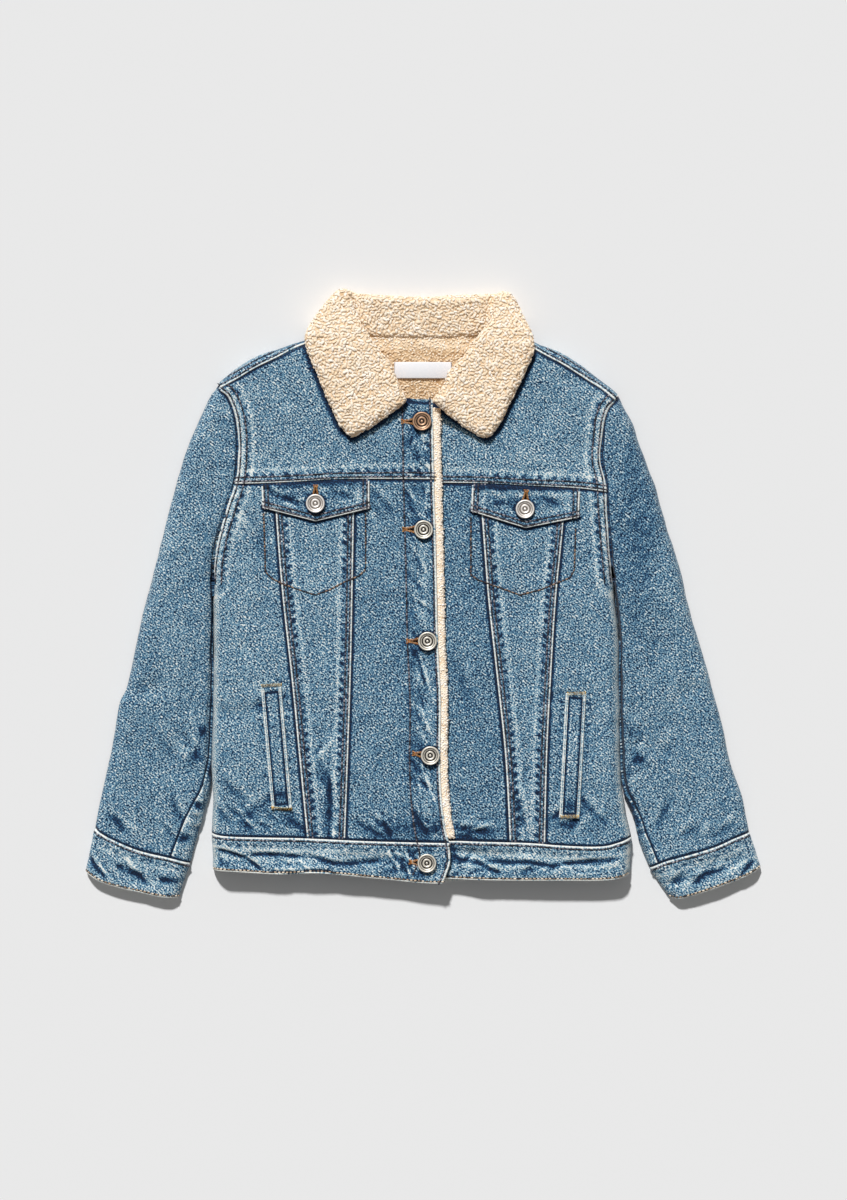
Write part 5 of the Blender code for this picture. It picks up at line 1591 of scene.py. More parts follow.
class Grower(Web):
    """A Geometry Nodes tree with named inputs, which is run on one object."""

    def __init__(self, name: str, **inputs: float) -> None:
        """Start a tree with these named inputs, of which a whole number stays one."""
        super().__init__(bpy.data.node_groups.new(name, "GeometryNodeTree"), "GeometryNode", "FunctionNode",
                         "ShaderNode")
        face = self.tree.interface
        face.new_socket("Geometry", in_out="INPUT", socket_type="NodeSocketGeometry")
        self.values = {}
        for label, value in inputs.items():
            kind = "NodeSocketInt" if isinstance(value, int) else "NodeSocketFloat"
            self.values[face.new_socket(label, in_out="INPUT", socket_type=kind).identifier] = value
        face.new_socket("Geometry", in_out="OUTPUT", socket_type="NodeSocketGeometry")
        self.start = self.tree.nodes.new("NodeGroupInput").outputs
        self.end = self.tree.nodes.new("NodeGroupOutput")

    def finish(self, grown: Node, domain: str, tones: tuple[float, float, int], finish: Material) -> None:
        """End the tree: a random tone, real geometry and its material.

        Args:
            grown: the node that makes the geometry.
            domain: what gets a tone of its own.
            tones: the least and greatest tone, and their seed.
            finish: the material.
        """
        shade = self.add("RandomValue", data_type="FLOAT", i2=tones[0], i3=tones[1], Seed=tones[2])
        toned = self.add("StoreNamedAttribute", data_type="FLOAT", domain=domain, Geometry=grown, Name="tone",
                         Value=shade)
        real = self.add("RealizeInstances", Geometry=toned)
        self.give(self.end, i0=self.add("SetMaterial", Geometry=real, Material=finish))

    def run(self, source: Piece) -> Piece:
        """Grow on the source, and return the result as a plain mesh object with the tree's name."""
        name = self.tree.name
        grow = source.modifiers.new(name, "NODES")
        grow.node_group = self.tree
        for identifier, value in self.values.items():
            grow[identifier] = value
        bpy.context.view_layer.update()
        mesh = evaluated(source)
        source.modifiers.remove(grow)
        mesh.name = name
        return put(name, mesh)


def tube_mesh(name: str, path: Array, radii: Array, sides: int) -> bpy.types.Mesh:
    """A tapering tube along points, in metres, closed at both ends."""
    ahead = unit(np.gradient(path, axis=0))
    side = unit(np.cross(ahead, np.array([0.0, 0.0, 1.0])) + 1e-6)
    over = np.cross(side, ahead)
    turn = np.linspace(0, 2 * math.pi, sides, endpoint=False)
    ring = np.cos(turn)[:, None, None] * side + np.sin(turn)[:, None, None] * over
    points = np.swapaxes(path + radii[:, None] * ring, 0, 1).reshape(-1, 3)
    index = np.arange(len(points)).reshape(-1, sides)
    faces = quads(np.hstack([index, index[:, :1]]), flipped=True)
    mesh = faced(name, points.tolist(), [*faces, index[0, ::-1].tolist(), index[-1].tolist()])
    sheet = bmesh.new()
    sheet.from_mesh(mesh)
    bmesh.ops.recalc_face_normals(sheet, faces=sheet.faces[:])
    sheet.to_mesh(mesh)
    sheet.free()
    return mesh


@dataclass
class Pile:
    """A part of the pile: its node, with lumps and furrows, and its curls in a piece of their own."""

    node: str
    finish: Material
    slot: str
    voxel: float = 1.6
    lump: float = 0.3
    curl: float = 2.35
    size: float = 1.15
    lowest: float = 3.0
    bare: tuple[float, float, float, float] | None = None

    def base(self) -> Piece:
        """The node's solid, remeshed finely and softened."""
        sheet = bmesh.new()
        sheet.from_mesh(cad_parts[self.node].data)
        bmesh.ops.remove_doubles(sheet, verts=sheet.verts[:], dist=1e-6)
        made = shaped(self.node + "_pile", sheet)
        remesh = made.modifiers.new("remesh", "REMESH")
        remesh.mode, remesh.voxel_size = "VOXEL", self.voxel * MM
        soften = made.modifiers.new("soften", "SMOOTH")
        soften.factor, soften.iterations = 0.5, 8
        bpy.context.view_layer.update()
        fine = evaluated(made)
        made.modifiers.clear()
        made.data = fine
        return made

    def furrow(self, made: Piece) -> None:
        """Raise the lumps that the curls gather into, and keep how deep each point lies as its tone, darker in the
        furrows, which paints their shade.
        """
        mesh = made.data
        count = len(mesh.vertices)
        points, normals = np.empty(3 * count), np.empty(3 * count)
        mesh.vertices.foreach_get("co", points)
        mesh.vertices.foreach_get("normal", normals)
        points, normals = points.reshape(-1, 3) / MM, normals.reshape(-1, 3)
        if self.node == "collar":
            self.settle(points)
        elif self.node == "neck_lining":
            points[:, 1] += 4.5 * ease(points[:, 1], 227.0, 231.0)
        else:
            notches = ripples(points[:, 1] * 3.0, 4.0) + 0.6 * ripples(points[:, 1] * 6.0, 5.0)
            points[:, 0] += 1.3 * ease(normals[:, 0], 0.1, 0.8) * notches
        random = np.random.default_rng(SEED)
        depth = np.zeros(count)
        for lump in LUMPS:
            total = np.zeros(count)
            for _ in range(lump.count):
                heading = unit(random.normal(size=3))
                pace = 2 * math.pi / random.uniform(lump.shortest, lump.longest)
                total += np.sin(pace * (points @ heading) + random.uniform(0, 2 * math.pi))
            depth += lump.amount * total * math.sqrt(2 / lump.count)
        lift = self.lump * depth * ease(points[:, 2], 0.5, 3.0)
        points = points + lift[:, None] * normals
        points[:, 2] = np.maximum(points[:, 2], 0.05)
        mesh.vertices.foreach_set("co", (points * MM).ravel())
        # painted shade: the ground is darker where its lumps are low and between the curls
        valued(mesh, "tone", np.clip(0.42 + 0.12 * depth, 0, 1))
        x, y, z = points.T
        open_to_air = ease(z, self.lowest, self.lowest + 1.5) * ease(normals[:, 2], -0.55, -0.1)
        if self.bare:
            x0, y0, x1, y1 = self.bare
            open_to_air[(x > x0) & (x < x1) & (y > y0) & (y < y1)] = 0.0
        valued(mesh, "furred", open_to_air)
        mesh.shade_smooth()
        mesh.update()

    def settle(self, points: Array) -> None:
        """Let the collar's back fall gently to its seam, and its leaves roll in over the label."""
        x, y, z = points.T
        between = between_rows(COLLAR_OPENING, y)
        slope = 9.4 + 0.13 * (y - 233)
        back = ease(between - abs(x), -2.0, 7.0) * ease(y, 228.0, 231.0) * (1 - ease(y, 262.0, 268.0))
        points[:, 2] = z + back * (np.minimum(z, slope) - z)
        roll = np.where(x < 0, 3.2 * bump(y, 211, 12), 6.5 * bump(y, 201, 14))
        points[:, 0] = x - np.sign(x) * roll * bump(abs(x), between + 2, 16) * ease(z, 6.0, 12.0)
        points[:, 2] -= 3.0 * bump(abs(x) - between, 0.5, 4.0) * ease(y, 240.0, 250.0) * ease(z, 8.0, 14.0)

    def curls(self, made: Piece) -> Piece:
        """Grow the curls: short tapering locks of a few shapes, each turned its own way."""
        grower = Grower(self.node + "_curls", Spacing=self.curl * MM, Size=self.size, Seed=SEED)
        add, (surface, spacing, size, seed) = grower.add, grower.start[:4]
        furred = add("InputNamedAttribute", data_type="FLOAT", Name="furred")
        places = add("DistributePointsOnFaces", distribute_method="POISSON", Mesh=surface, Distance_Min=spacing,
                     Density_Max=900000.0, Density_Factor=furred, Seed=seed)
        joined = add("JoinGeometry")
        locks = [self.lock(index) for index in range(3)]
        for lock in locks:
            shape = add("ObjectInfo", Object=lock, As_Instance=True)
            grower.give(joined, Geometry=shape.outputs["Geometry"])
        turn = add("RandomValue", data_type="FLOAT", i2=0.0, i3=2 * math.pi, Seed=seed)
        tilt = add("RandomValue", data_type="FLOAT", i2=-0.35, i3=0.35, Seed=5)
        spin = add("RotateRotation", rotation_space="LOCAL", i0=places.outputs["Rotation"],
                   i1=add("CombineXYZ", X=tilt, Z=turn))
        scale = add("RandomValue", data_type="FLOAT", i2=0.7, i3=1.25, Seed=7)
        sized = add("Math", operation="MULTIPLY", i0=scale, i1=size)
        placed = add("InstanceOnPoints", Points=places, Instance=joined, Pick_Instance=True, Rotation=spin,
                     Scale=sized)
        grower.finish(placed, "INSTANCE", (0.5, 1.0, 9), self.finish)
        grown = grower.run(made)
        for lock in locks:
            bpy.data.objects.remove(lock, do_unlink=True)
        return grown

    def lock(self, index: int) -> Piece:
        """One lock of pile: a thick yarn bent over in a hook, as a tube of a few faces."""
        t = np.linspace(0, 1, 6)
        bend = (2.6, 3.4, 4.2)[index]
        radius = (1.6, 1.4, 1.2)[index]
        path = np.column_stack([
            radius * (1 - np.cos(bend * t)) - 0.8 * radius, (0.25, -0.3, 0.1)[index] * np.sin(bend * t),
            radius * np.sin(bend * t) * 0.5 + 0.2 - 0.45 * t,
        ]) * MM
        radii = np.array([0.7, 1.05, 1.2, 1.15, 0.95, 0.45]) * MM * (1.0, 0.95, 0.9)[index]
        mesh = tube_mesh("lock", path, radii, 5)
        mesh.transform(Matrix.Diagonal((1, 1, 0.42, 1)))
        return put(f"{self.node}_lock_{index}", mesh)

    def make(self) -> None:
        """Make both pieces, the ground in the node's stead."""
        ground = self.base()
        self.furrow(ground)
        ground.data.materials.clear()
        ground.data.materials.append(self.finish)
        locks = self.curls(ground)
        dress(ground, self.node, self.slot)
        dress(locks, slot=self.slot)


class Thread(Enum):
    """The sewing threads, by what they are used for."""

    TOPSTITCH = "topstitch"
    EDGE = "edge"
    POCKET = "pocket"


@dataclass
class Stitching:
    """Topstitching: rows of single stitches that lie in the cloth."""

    finishes: dict[Thread, Material]
    pitch: float = 3.5
    length: float = 3.4
    thickness: float = 0.8
    clear: float = 0.12
    lowest: float = 3.0
    steepest: float = 0.35
    rows: dict[Thread, list] = field(default_factory=lambda: {kind: [] for kind in Thread})

    def drop(self, piece: Piece, points: Array, kind: Thread) -> None:
        """Lay one row on a piece.

        Args:
            piece: the cloth it is sewn in.
            points: its places in the plan, in mm.
            kind: its thread.
        """
        tree = tree_over([piece])
        run = []
        for x, y in points:
            place, normal = struck(tree, x, y)
            if place is None or abs(normal.z) < self.steepest or place.z < self.lowest * MM:
                self.keep(run, kind)
                run = []
                continue
            normal = normal if normal.z > 0 else -normal
            run.append((place + normal * self.clear * MM, normal))
        self.keep(run, kind)

    def keep(self, run: list, kind: Thread) -> None:
        """Keep a row that is long enough for three stitches."""
        if len(run) > 3:
            self.rows[kind].append(run)

    def along(self, piece: Piece, side: Side, middle: Sequence[float], kind: Thread = Thread.TOPSTITCH) -> None:
        """Lay a seam's or an edge's rows on the piece inside it."""
        sign = int(side.line.read(np.array([middle], float)).side[0])
        for row in side.rows:
            self.drop(piece, side.line.beside(sign * row, ROW_STEP), kind)

    def make(self) -> None:
        """Grow the stitches of every thread."""
        stitch = self.stitch()
        for kind, runs in self.rows.items():
            source = wires(kind.value + "_rows", [[place for place, _ in run] for run in runs])
            ups = [value for run in runs for _, normal in run for value in normal]
            source.data.attributes.new("up", "FLOAT_VECTOR", "POINT").data.foreach_set("vector", ups)
            grower = Grower(kind.value + "_stitches", Pitch=self.pitch * MM, Seed=SEED)
            add, (row, pitch, seed) = grower.add, grower.start[:3]
            even = add("ResampleCurve", mode="LENGTH", Curve=add("MeshToCurve", Mesh=row), Length=pitch)
            up = add("InputNamedAttribute", data_type="FLOAT_VECTOR", Name="up")
            ahead = add("AlignRotationToVector", axis="X", Vector=add("InputTangent"))
            lying = add("AlignRotationToVector", axis="Z", pivot_axis="X", Rotation=ahead, Vector=up)
            shape = add("ObjectInfo", Object=stitch, As_Instance=True)
            size = add("RandomValue", data_type="FLOAT", i2=0.85, i3=1.12, Seed=seed)
            placed = add("InstanceOnPoints", Points=even, Instance=shape.outputs["Geometry"], Rotation=lying,
                         Scale=size)
            grower.finish(placed, "INSTANCE", (0.0, 1.0, 3), self.finishes[kind])
            dress(grower.run(source))
            bpy.data.objects.remove(source, do_unlink=True)
        bpy.data.objects.remove(stitch, do_unlink=True)

    def stitch(self) -> Piece:
        """One stitch: a short arch of thread whose ends go down into the cloth, with painted shade where they enter
        its holes.
        """
        t = np.array([-1.0, -0.66, -0.5, 0.5, 0.66, 1.0])
        path = np.column_stack([t * self.length / 2, 0 * t, 0.12 * (1 - 1.4 * t**4)]) * MM
        radii = self.thickness * np.array([0.8, 0.9, 1.0, 1.0, 0.9, 0.8]) * MM
        mesh = tube_mesh("stitch", path, radii, 4)
        valued(mesh, "hole", np.repeat([1.0, 1.0, 0.0, 0.0, 1.0, 1.0], 4))
        return put("stitch", mesh)


@dataclass(frozen=True)
class Button:
    """A shank button: a turned metal cap with a raised rim and fine rings, on its shank."""

    node: str
    x: float
    y: float
    radius: float = 8.5
    steps: int = 40

    def make(self, finish: Material) -> None:
        """Turn it on the node's place and put it in the node's stead."""
        foot, top = (corner[2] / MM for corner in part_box(self.node))
        scale = self.radius / max(ring.radius for ring in BUTTON_RINGS)
        sheet = bmesh.new()
        patina = sheet.verts.layers.float.new("tone")
        turn = np.linspace(0, 2 * math.pi, self.steps, endpoint=False)
        loops = []
        for ring in BUTTON_RINGS:
            reach, z = scale * ring.radius, foot + ring.height * (top - foot)
            around = [(self.x + reach * math.cos(a), self.y + reach * math.sin(a), z)
                      for a in (turn if reach else turn[:1])]
            loops.append([sheet.verts.new(Vector(place) * MM) for place in around])
            for vertex in loops[-1]:
                vertex[patina] = ring.tone
        for upper, lower in zip(loops, loops[1:]):
            for k in range(self.steps):
                n = (k + 1) % self.steps
                if len(upper) == 1:
                    sheet.faces.new((upper[0], lower[k], lower[n]))
                elif len(lower) == 1:
                    sheet.faces.new((upper[k], lower[0], upper[n]))
                else:
                    sheet.faces.new((upper[k], lower[k], lower[n], upper[n]))
        bmesh.ops.recalc_face_normals(sheet, faces=sheet.faces[:])
        made = shaped(self.node + "_cap", sheet)
        made.data.shade_smooth()
        made.data.materials.append(finish)
        dress(made, self.node, "worn_nickel")


@dataclass
class Satin:
    """Close zigzag stitching: buttonholes and bar tacks, swept along their threads."""

    finish: Material
    name: str
    pitch: float = 0.6
    thickness: float = 0.33
    runs: list = field(default_factory=list)

    def band(self, tree: BVHTree, path: Sequence, width: float, lift: float = 0.3) -> None:
        """Zigzag along a path of the plan, over the cloth in a tree."""
        line = Line(smooth(path)) if len(path) > 2 else straight(path)
        count = max(int(line.length / self.pitch), 2)
        share = np.linspace(0, 1, 2 * count + 1)
        ahead = unit(line.at(share + 0.02) - line.at(share - 0.02))
        swing = np.where(np.arange(len(share)) % 2 == 0, 0.5, -0.5) * width
        found = (struck(tree, x, y)[0] for x, y in line.at(share) + swing[:, None] * left_of(ahead))
        self.runs.append([(place.x, place.y, place.z + lift * MM) for place in found if place])

    def make(self) -> None:
        """Sweep a round thread along every run."""
        source = wires(self.name + "_path", self.runs)
        grower = Grower(self.name, Radius=self.thickness * MM)
        add, (run, radius) = grower.add, grower.start[:2]
        circle = add("CurvePrimitiveCircle", Resolution=5, Radius=radius)
        swept = add("CurveToMesh", Curve=add("MeshToCurve", Mesh=run), Profile_Curve=circle, Fill_Caps=True)
        grower.finish(swept, "POINT", (0.3, 1.0, 4), self.finish)
        made = grower.run(source)
        bpy.data.objects.remove(source, do_unlink=True)
        made.data.shade_smooth()
        dress(made)


def linear(hex_colour: str) -> tuple[float, float, float, float]:
    """The linear colour of an sRGB hex value."""
    parts = [int(hex_colour[k:k + 2], 16) / 255 for k in (1, 3, 5)]
    return (*(p / 12.92 if p <= 0.04045 else ((p + 0.055) / 1.055) ** 2.4 for p in parts), 1.0)


def cycles(millimetres: float) -> float:
    """The scale of a noise whose grains are this long, on coordinates in metres."""
    return 1.0 / (millimetres * MM)


def wave_scale(millimetres: float) -> float:
    """The scale of a wave texture whose bands are this far apart, on coordinates in metres."""
    return 2 * math.pi / (20 * millimetres * MM)


class Surface(Web):
    """A material that is built node by node."""

    def __init__(self, name: str) -> None:
        """Start the material."""
        self.material = bpy.data.materials.new(name)
        self.material.use_nodes = True
        super().__init__(self.material.node_tree, "ShaderNode")

    def where(self) -> tuple[bpy.types.NodeSocket, bpy.types.NodeSocket]:
        """The tone that the piece's mesh holds at each point, and the point's place."""
        tone = self.add("Attribute", attribute_name="tone").outputs["Fac"]
        return tone, self.add("TexCoord").outputs["Object"]

    def finish(self, value: object, stops: Sequence, relief: tuple | None = None, **plain: float) -> Material:
        """Give the shader what it needs.

        Args:
            value: what the colour ramp reads.
            stops: the ramp's places and colours.
            relief: a height, its strength and its depth in mm.
            plain: the shader's plain values.

        Returns:
            The material.
        """
        shader = self.tree.nodes["Principled BSDF"]
        self.give(shader, Base_Color=self.add("ValToRGB", stops, Fac=value), **plain)
        if relief:
            raised = self.add("Bump", Height=relief[0], Strength=relief[1], Distance=relief[2] * MM)
            self.give(shader, Normal=raised)
        return self.material


@dataclass(frozen=True)
class Denim:
    """Ring-spun indigo twill, 340 g/m2, stone washed.

    The indigo lies on the warp's surface alone, so the cloth fades to white along every edge, pucker
    and ridge and stays dark in the troughs, and the white weft shows between as a fine speckle.
    """

    name: str = "washed_denim_twill"
    # mm; the real floats are 0.6 mm wide, finer than a pixel, so they are drawn coarser
    twill: float = 2.3
    float_width: float = 1.3
    float_length: float = 1.75
    speckle: float = 0.7
    slub: float = 1.7
    cloud: float = 17.0

    def make(self) -> Material:
        """Build the material."""
        web = Surface(self.name)
        add, flat = web.add, {"voronoi_dimensions": "2D"}
        chart = add("UVMap", uv_map="UVMap")
        # the attribute holds the fading, and also the painted shade and light of the pieces
        wash = add("Attribute", attribute_name="wash").outputs["Fac"]
        turned = add("Mapping", Vector=chart, Rotation=(0, 0, math.radians(-52)))
        twill = add("TexWave", wave_profile="SIN", Vector=turned, Scale=wave_scale(self.twill), Distortion=2.6,
                    Detail=2.0, Detail_Scale=1.4).outputs[1]
        laid_floats = add("Mapping", Vector=turned, Scale=(cycles(self.float_width), cycles(self.float_length), 1))
        floats = add("TexVoronoi", **flat, Vector=laid_floats, Scale=1.0)
        faded_float = add("SeparateXYZ", Vector=floats.outputs["Color"])
        apart = add("Mapping", Vector=laid_floats, Location=(37.3, 11.7, 0), Rotation=(0, 0, math.radians(31)))
        pits = add("TexVoronoi", **flat, Vector=apart, Scale=1.0)
        drawn = add("Mapping", Vector=chart, Scale=(1, 0.6, 1), Rotation=(0, 0, math.radians(12)))
        speckle = add("TexNoise", Vector=drawn, Scale=cycles(self.speckle), Detail=2.0, Roughness=0.65)
        yarn = add("Mapping", Vector=chart, Scale=(1, 0.07, 1))
        slub = add("TexNoise", Vector=yarn, Scale=cycles(self.slub), Detail=1.0)
        cloud = add("TexNoise", Vector=chart, Scale=cycles(self.cloud), Detail=3.0)
        grain = web.weighted(0.0, (twill, 0.2), (floats, 0.9), (pits, -0.9), (faded_float, 0.14),
                             (speckle, 0.4), (slub, 0.12))
        # where the cloth is worn white or lies in the dark, both its yarns look alike
        extreme = add("Math", operation="ABSOLUTE", i0=add("Math", operation="SUBTRACT", i0=wash, i1=0.5))
        told_apart = add("MapRange", Value=extreme, From_Min=0.14, From_Max=0.45, To_Min=1.0, To_Max=0.3)
        faded = add("Math", operation="MULTIPLY_ADD", i0=grain, i1=told_apart, i2=wash)
        stops = ((0.0, "#0a1a32"), (0.2, "#1c3f62"), (0.38, "#42708f"), (0.56, "#7097ac"), (0.76, "#a6bfc8"),
                 (1.0, "#efefe8"))
        ridges = web.weighted(twill, (speckle, 1.4), (slub, 0.6))
        return web.finish(web.weighted(faded, (cloud, 0.1)), stops, (ridges, 0.55, 0.25), Roughness=0.92,
                          Specular_IOR_Level=0.25, Sheen_Weight=0.12, Sheen_Roughness=0.5)


@dataclass(frozen=True)
class PileYarn:
    """Sherpa pile: a knitted ground with brushed polyester locks that curl.

    Each lock is given a faint warm glow, which is painted light for the light that the yarn scatters, and the ground
    between the locks is painted darker and warmer as their shade. Below a height of the plan the pile is painted
    darker and warmer still, as the shade deep inside the neck.
    """

    name: str
    stops: tuple
    hair: float = 0.7
    patch: float = 14.0
    warm_below: float = -1000.0
    warmer: float = 0.3

    def make(self) -> Material:
        """Build the material."""
        web = Surface(self.name)
        tone, place = web.where()
        hairs = web.add("TexNoise", Vector=place, Scale=cycles(self.hair), Detail=2.0)
        patch = web.add("TexNoise", Vector=place, Scale=cycles(self.patch), Detail=2.0)
        height = web.add("SeparateXYZ", Vector=place).outputs["Y"]
        # painted shade: darker and warmer below warm_below, deep inside the neck
        warm = web.add("MapRange", Value=height, From_Min=(self.warm_below + 2) * MM,
                       From_Max=(self.warm_below - 2) * MM, To_Min=0.5, To_Max=0.5 - self.warmer)
        value = web.weighted(tone, (hairs, 0.2), (patch, 0.25), (warm, 1.0))
        # the emission is a painted glow: it stands for the light that the pale yarn hands on from lock to lock, which
        # keeps its shade warm
        return web.finish(value, self.stops, (hairs, 0.15, 0.3), Roughness=1.0, Specular_IOR_Level=0.1,
                          Sheen_Weight=0.25, Sheen_Roughness=0.6, Emission_Color=linear("#dca468"),
                          Emission_Strength=0.07)


@dataclass(frozen=True)
class SewingThread:
    """Spun polyester thread, matt, each stitch a little more or less faded than the next."""

    name: str
    dark: str
    middle: str
    pale: str

    def make(self) -> Material:
        """Build the material."""
        web = Surface(self.name)
        tone, place = web.where()
        worn = web.add("TexNoise", Vector=place, Scale=cycles(3.0), Detail=2.0)
        hole = web.add("Attribute", attribute_name="hole").outputs["Fac"]
        # hole darkens the stitch's ends with painted shade
        value = web.add("Math", operation="MULTIPLY_ADD", i0=hole, i1=-1.0, i2=web.weighted(tone, (worn, 0.6)))
        stops = ((0.0, "#15141c"), (0.2, self.dark), (0.5, self.middle), (0.9, self.pale))
        return web.finish(value, stops, Roughness=0.8, Sheen_Weight=0.1)


@dataclass(frozen=True)
class WornMetal:
    """Stamped brass with a worn nickel plating, whose rings keep a dark patina."""

    name: str
    dark: str
    pale: str
    roughness: float = 0.42

    def make(self) -> Material:
        """Build the material."""
        web = Surface(self.name)
        tone, place = web.where()
        worn = web.add("TexNoise", Vector=place, Scale=cycles(2.2), Detail=4.0, Roughness=0.7)
        fine = web.add("TexNoise", Vector=place, Scale=cycles(0.6), Detail=2.0)
        return web.finish(web.weighted(tone, (worn, 0.9)), ((0.1, self.dark), (0.9, self.pale)),
                          (fine, 0.4, 0.1), Metallic=0.45, Roughness=self.roughness)


@dataclass(frozen=True)
class LabelSatin:
    """Woven polyester satin, white, with a faint rib across and a soft gloss."""

    name: str = "woven_label_satin"

    def make(self) -> Material:
        """Build the material."""
        web = Surface(self.name)
        place = web.add("TexCoord").outputs["Object"]
        rib = web.add("TexWave", bands_direction="Y", Vector=place, Scale=wave_scale(0.9), Distortion=0.6, Detail=1.0)
        return web.finish(rib, ((0.0, "#e4e4e8"), (1.0, "#f3f3f5")), (rib, 0.3, 0.1), Roughness=0.55)


@dataclass(frozen=True)
class Plain:
    """A matt surface: the sweep that the jacket lies on, or the painted shade in a buttonhole's slit."""

    name: str
    colour: str

    def make(self) -> Material:
        """Build the material."""
        web = Surface(self.name)
        place = web.add("TexCoord").outputs["Object"]
        grain = web.add("TexNoise", Vector=place, Scale=cycles(1.5), Detail=2.0)
        base = linear(self.colour)
        near = tuple(min(1.0, c * 1.01) for c in base)
        web.give(web.tree.nodes["Principled BSDF"], Roughness=1.0, Specular_IOR_Level=0.0,
                 Base_Color=web.add("Mix", data_type="RGBA", Factor=grain, i6=base, i7=near))
        return web.material


@dataclass
class Studio:
    """A pale floor, one soft sun from beyond the head end, even fill, and a camera straight above."""

    height: float = 1080.0
    centre: tuple[float, float] = (0.45, -4.5)
    level: float = 12.0
    distance: float = 3000.0
    sensor: float = 36.0
    sun: tuple[float, float, float] = (-0.25, 1.0, 1.0)
    sun_strength: float = 3.52
    fill: float = 0.222

    def make(self) -> None:
        """Make the floor, the lights and the camera."""
        sheet = bmesh.new()
        bmesh.ops.create_grid(sheet, x_segments=2, y_segments=2, size=2.0)
        floor = shaped("floor", sheet)
        floor.data.transform(Matrix.Translation((0, 0, -0.3 * MM)))
        floor.data.materials.append(Plain("matt_sweep", "#e8e8e8").make())
        light = bpy.data.lights.new("sun", "SUN")
        light.energy, light.angle = self.sun_strength, math.radians(5.0)
        put("sun", light).rotation_euler = Vector(self.sun).to_track_quat("Z", "Y").to_euler()
        scene = bpy.context.scene
        scene.world = bpy.data.worlds.new("fill")
        scene.world.use_nodes = True
        sky = scene.world.node_tree.nodes["Background"].inputs
        sky["Strength"].default_value, sky["Color"].default_value = self.fill, (1, 1, 1, 1)
        lens = bpy.data.cameras.new("camera")
        lens.sensor_width, lens.clip_end = self.sensor, 20.0
        lens.lens = self.sensor * (self.distance - self.level) / self.height
        scene.camera = put("camera", lens)
        scene.camera.location = (self.centre[0] * MM, self.centre[1] * MM, self.distance * MM)
        scene.view_settings.view_transform = "Standard"


@dataclass
class Label:
    """The blank woven neck label, stitched down at its two ends."""

    finish: Material
    width: float = 52.0
    depth: float = 14.2
    rise: float = 1.4
    thickness: float = 0.5

    def make(self) -> None:
        """Bend a thin strip over the pile and fold its ends under."""
        centre = centre_of("neck_label")
        x = np.concatenate([[-1 + 0.08], np.linspace(-1, 1, 41), [1 - 0.08]]) * self.width / 2
        y = np.linspace(0.5, -0.5, 13) * self.depth
        across, down = np.meshgrid(x, y)
        drop = np.zeros_like(x)
        drop[0] = drop[-1] = -2 * self.thickness
        bow = 0.8 * np.cos(across / self.width * 5.2 + 0.4) - 0.5 * (2 * down / self.depth) ** 2
        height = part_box("neck_label")[1][2] / MM + self.rise + bow + drop
        points = np.dstack([across + centre[0], down + centre[1], height])
        points, _ = hemmed(points, normals_of(points), {"upper": Rim(0.3, 1.0), "lower": Rim(0.3, 1.0)})
        made = grid_object("neck_label_strip", points, points[..., :2], np.zeros(points.shape[:2]), self.finish)
        dress(made, "neck_label", "label_satin")


@dataclass
class Trims:
    """Buttonholes and bar tacks, with dark sheets in the slits that paint the shade where the buttons go through."""

    pieces: dict[str, Piece]
    orange: Material
    golden: Material
    # the material of the painted slit shade
    dark: Material
    spread: float = 2.7
    clear: float = 0.16
    holes: list = field(default_factory=list)

    def make(self) -> None:
        """Sew every buttonhole and bar tack."""
        tree = tree_over(piece for name, piece in self.pieces.items()
                         if any(part in name for part in ("front", "flap", "waistband", "welt")))
        orange, golden = Satin(self.orange, "buttonhole_thread"), Satin(self.golden, "bar_tack_thread")
        for ends in BUTTONHOLES:
            far, near = np.array(ends, float)
            ahead = unit(near - far)
            side = left_of(ahead)
            for sign in (1, -1):
                end = near + sign * side * self.spread
                bend = (far + near) / 2 + sign * side * self.spread * 0.55
                orange.band(tree, [far + sign * side * 0.7, bend, end], 1.6, 0.4)
            orange.band(tree, [far - side * 2.0 - ahead * 0.6, far + side * 2.0 - ahead * 0.6], 2.2, 0.55)
            self.slit(tree, far, near, side)
        for ends in BAR_TACKS:
            golden.band(tree, ends, 2.9, 1.0)
        orange.make()
        golden.make()
        self.join_slits()

    def slit(self, tree: BVHTree, far: Array, near: Array, side: Array) -> None:
        """One dark wedge between a buttonhole's lips, which paints the shade in the slit."""
        share = np.linspace(0.06, 1, 8)[:, None]
        middle, half = far + share * (near - far), self.spread * 0.66 * share * side
        strip = np.stack([np.column_stack([line, 0 * share + 20.0])
                          for line in (middle - half, middle, middle + half)])
        for place in strip.reshape(-1, 3):
            found = struck(tree, *place[:2])[0]
            if found:
                place[2] = found.z / MM + self.clear
        self.holes.append(facing(strip)[0])

    def join_slits(self) -> None:
        """One piece of all the slits."""
        faces, start = [], 0
        for hole in self.holes:
            faces += quads(start + np.arange(hole[..., 0].size).reshape(hole.shape[:2]))
            start += hole[..., 0].size
        points = np.vstack([hole.reshape(-1, 3) for hole in self.holes]) * MM
        mesh = faced("buttonhole_slits", points.tolist(), faces)
        mesh.materials.append(self.dark)
        dress(put("buttonhole_slits", mesh))


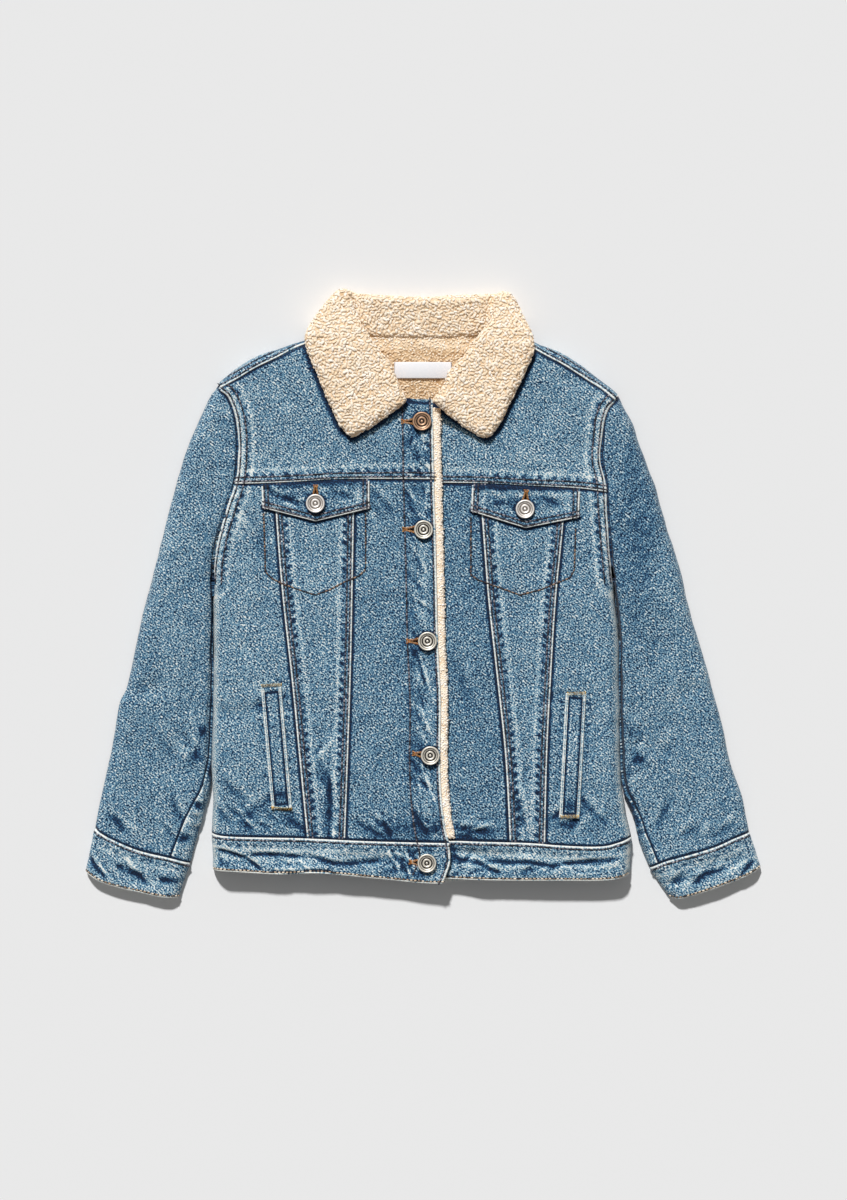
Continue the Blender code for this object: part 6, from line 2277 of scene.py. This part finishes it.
def sew_rows(stitching: Stitching, fronts: Sequence[Front], back: Back, sleeves: Sequence[Sleeve]) -> None:
    """Lay every row of stitches on the cloth."""
    along, top = stitching.along, Thread.TOPSTITCH
    for front in fronts:
        at, pieces, sign = front.side, front.pieces, SIDES[front.side]
        flap, seam = straight(FLAP_TIP[at]), Line(smooth(FLAP_TOP[at]))
        free = [Side(line, Edge.OPEN, rows=FLAP_ROWS)
                for line in (flap, *(straight([seam.at(k), flap.at(k)]) for k in (0.0, 1.0)))]
        for names, sides, x, y, kind in (
            (("front_yoke",), (front.yoke,), 100, 140, top),
            (("front_yoke", "front_side"), (front.armhole,), 100, -60, top),
            (("front_wedge",), (front.outer, front.inner), 92, 0, top),
            (("waistband",), (front.waist,), 100, -238, top),
            (("waistband",), (front.hem,), 100, -238, Thread.EDGE),
            (("pocket_flap",), free, 95, 88, top),
        ):
            for name, side in product(names, sides):
                along(pieces[f"{name}_{at}"], side, (sign * x, y), kind)
        bag = straight(POCKET_BAG[at]).beside(0.0, ROW_STEP)
        for name in ("front_side", "front_wedge", "front_centre"):
            stitching.drop(pieces[f"{name}_{at}"], bag, Thread.POCKET)
        for name in ("front_yoke", "front_centre", "waistband") if at == "right" else ():
            along(pieces[f"{name}_{at}"], front.edge, (-100, 0))
            placket = front.edge.line.beside(-front.stand, ROW_STEP)
            stitching.drop(pieces[f"{name}_{at}"], placket, top)
        shoulder = Side(Plan.shoulder_seam[at], Edge.LAP, rows=(2.6, 6.4))
        along(back.pieces["back_yoke"], shoulder, (sign * 130, 400))
    for sleeve in sleeves:
        at, middle = sleeve.side, (SIDES[sleeve.side] * 262, -247)
        cuff = sleeve.pieces[f"cuff_{at}"]
        along(cuff, Side(Plan.cuff_seam[at], Edge.LAP, rows=(2.6,)), middle)
        along(cuff, Side(Plan.cuff_edge[at], Edge.OPEN, rows=(1.9,)), middle, Thread.EDGE)


def main() -> None:
    """Build the pieces in the order they are sewn, and then the studio."""
    logging.basicConfig(level=logging.INFO, format="%(message)s")
    denim = Denim().make()
    fronts = [Front(denim, side) for side in SIDES]
    back, sleeves = Back(denim), [Sleeve(denim, side) for side in SIDES]
    for assembly in (back, *fronts, *sleeves):
        assembly.make()
    stops = ((0.0, "#ab875f"), (0.28, "#dcc09b"), (0.52, "#efd9bb"), (0.8, "#f5e8d4"), (1.0, "#faf1e4"))
    light = ((0.0, "#c2a27e"), (0.28, "#f0dabc"), (0.52, "#fdf0dd"), (0.8, "#fffaf2"), (1.0, "#ffffff"))
    cream = PileYarn("cream_sherpa_pile", stops).make()
    tan = PileYarn("tan_sherpa_pile", stops, warm_below=221.0, warmer=0.26).make()
    pale = PileYarn("pale_sherpa_pile", light).make()
    Pile("collar", cream, "cream_pile").make()
    Pile("neck_lining", tan, "tan_pile", curl=2.2, size=0.8, bare=(-25.0, 196.0, 25.0, 209.0)).make()
    Pile("front_edge_pile", pale, "cream_pile", voxel=1.3, lump=0.2, curl=1.7, size=0.6, lowest=16.0).make()
    Label(LabelSatin().make()).make()
    stitching = Stitching({
        Thread.TOPSTITCH: SewingThread("brown_topstitch_thread", "#24222e", "#5b5864", "#9b979e").make(),
        Thread.EDGE: SewingThread("cream_hem_thread", "#8a7460", "#c2ab90", "#e6d9c6").make(),
        Thread.POCKET: SewingThread("rust_pocket_thread", "#352c31", "#745a4e", "#a0846c").make(),
    })
    sew_rows(stitching, fronts, back, sleeves)
    stitching.make()
    pieces = {name: piece for front in fronts for name, piece in front.pieces.items()}
    Trims(pieces, SewingThread("orange_buttonhole_thread", "#b0621f", "#e59440", "#ffc884").make(),
          SewingThread("golden_bar_tack_thread", "#b9852b", "#ecb94a", "#ffe3a0").make(),
          Plain("inside_of_buttonhole", "#1c1413").make()).make()
    nickel = WornMetal("worn_nickel_plate", "#1f1b1a", "#f0e9da").make()
    copper = WornMetal("copper_worn_plate", "#271a15", "#cfa583").make()
    silver = WornMetal("pale_worn_plate", "#857c74", "#fdf6ee").make()
    for number, place in enumerate(BUTTONS):
        Button(f"button_{number + 1}", place.x, place.y).make(copper if number == 0 else nickel)
    for side, place in FLAP_BUTTONS.items():
        Button(f"flap_button_{side}", *place).make(silver)
    Studio().make()


if __name__ == "__main__":
    main()
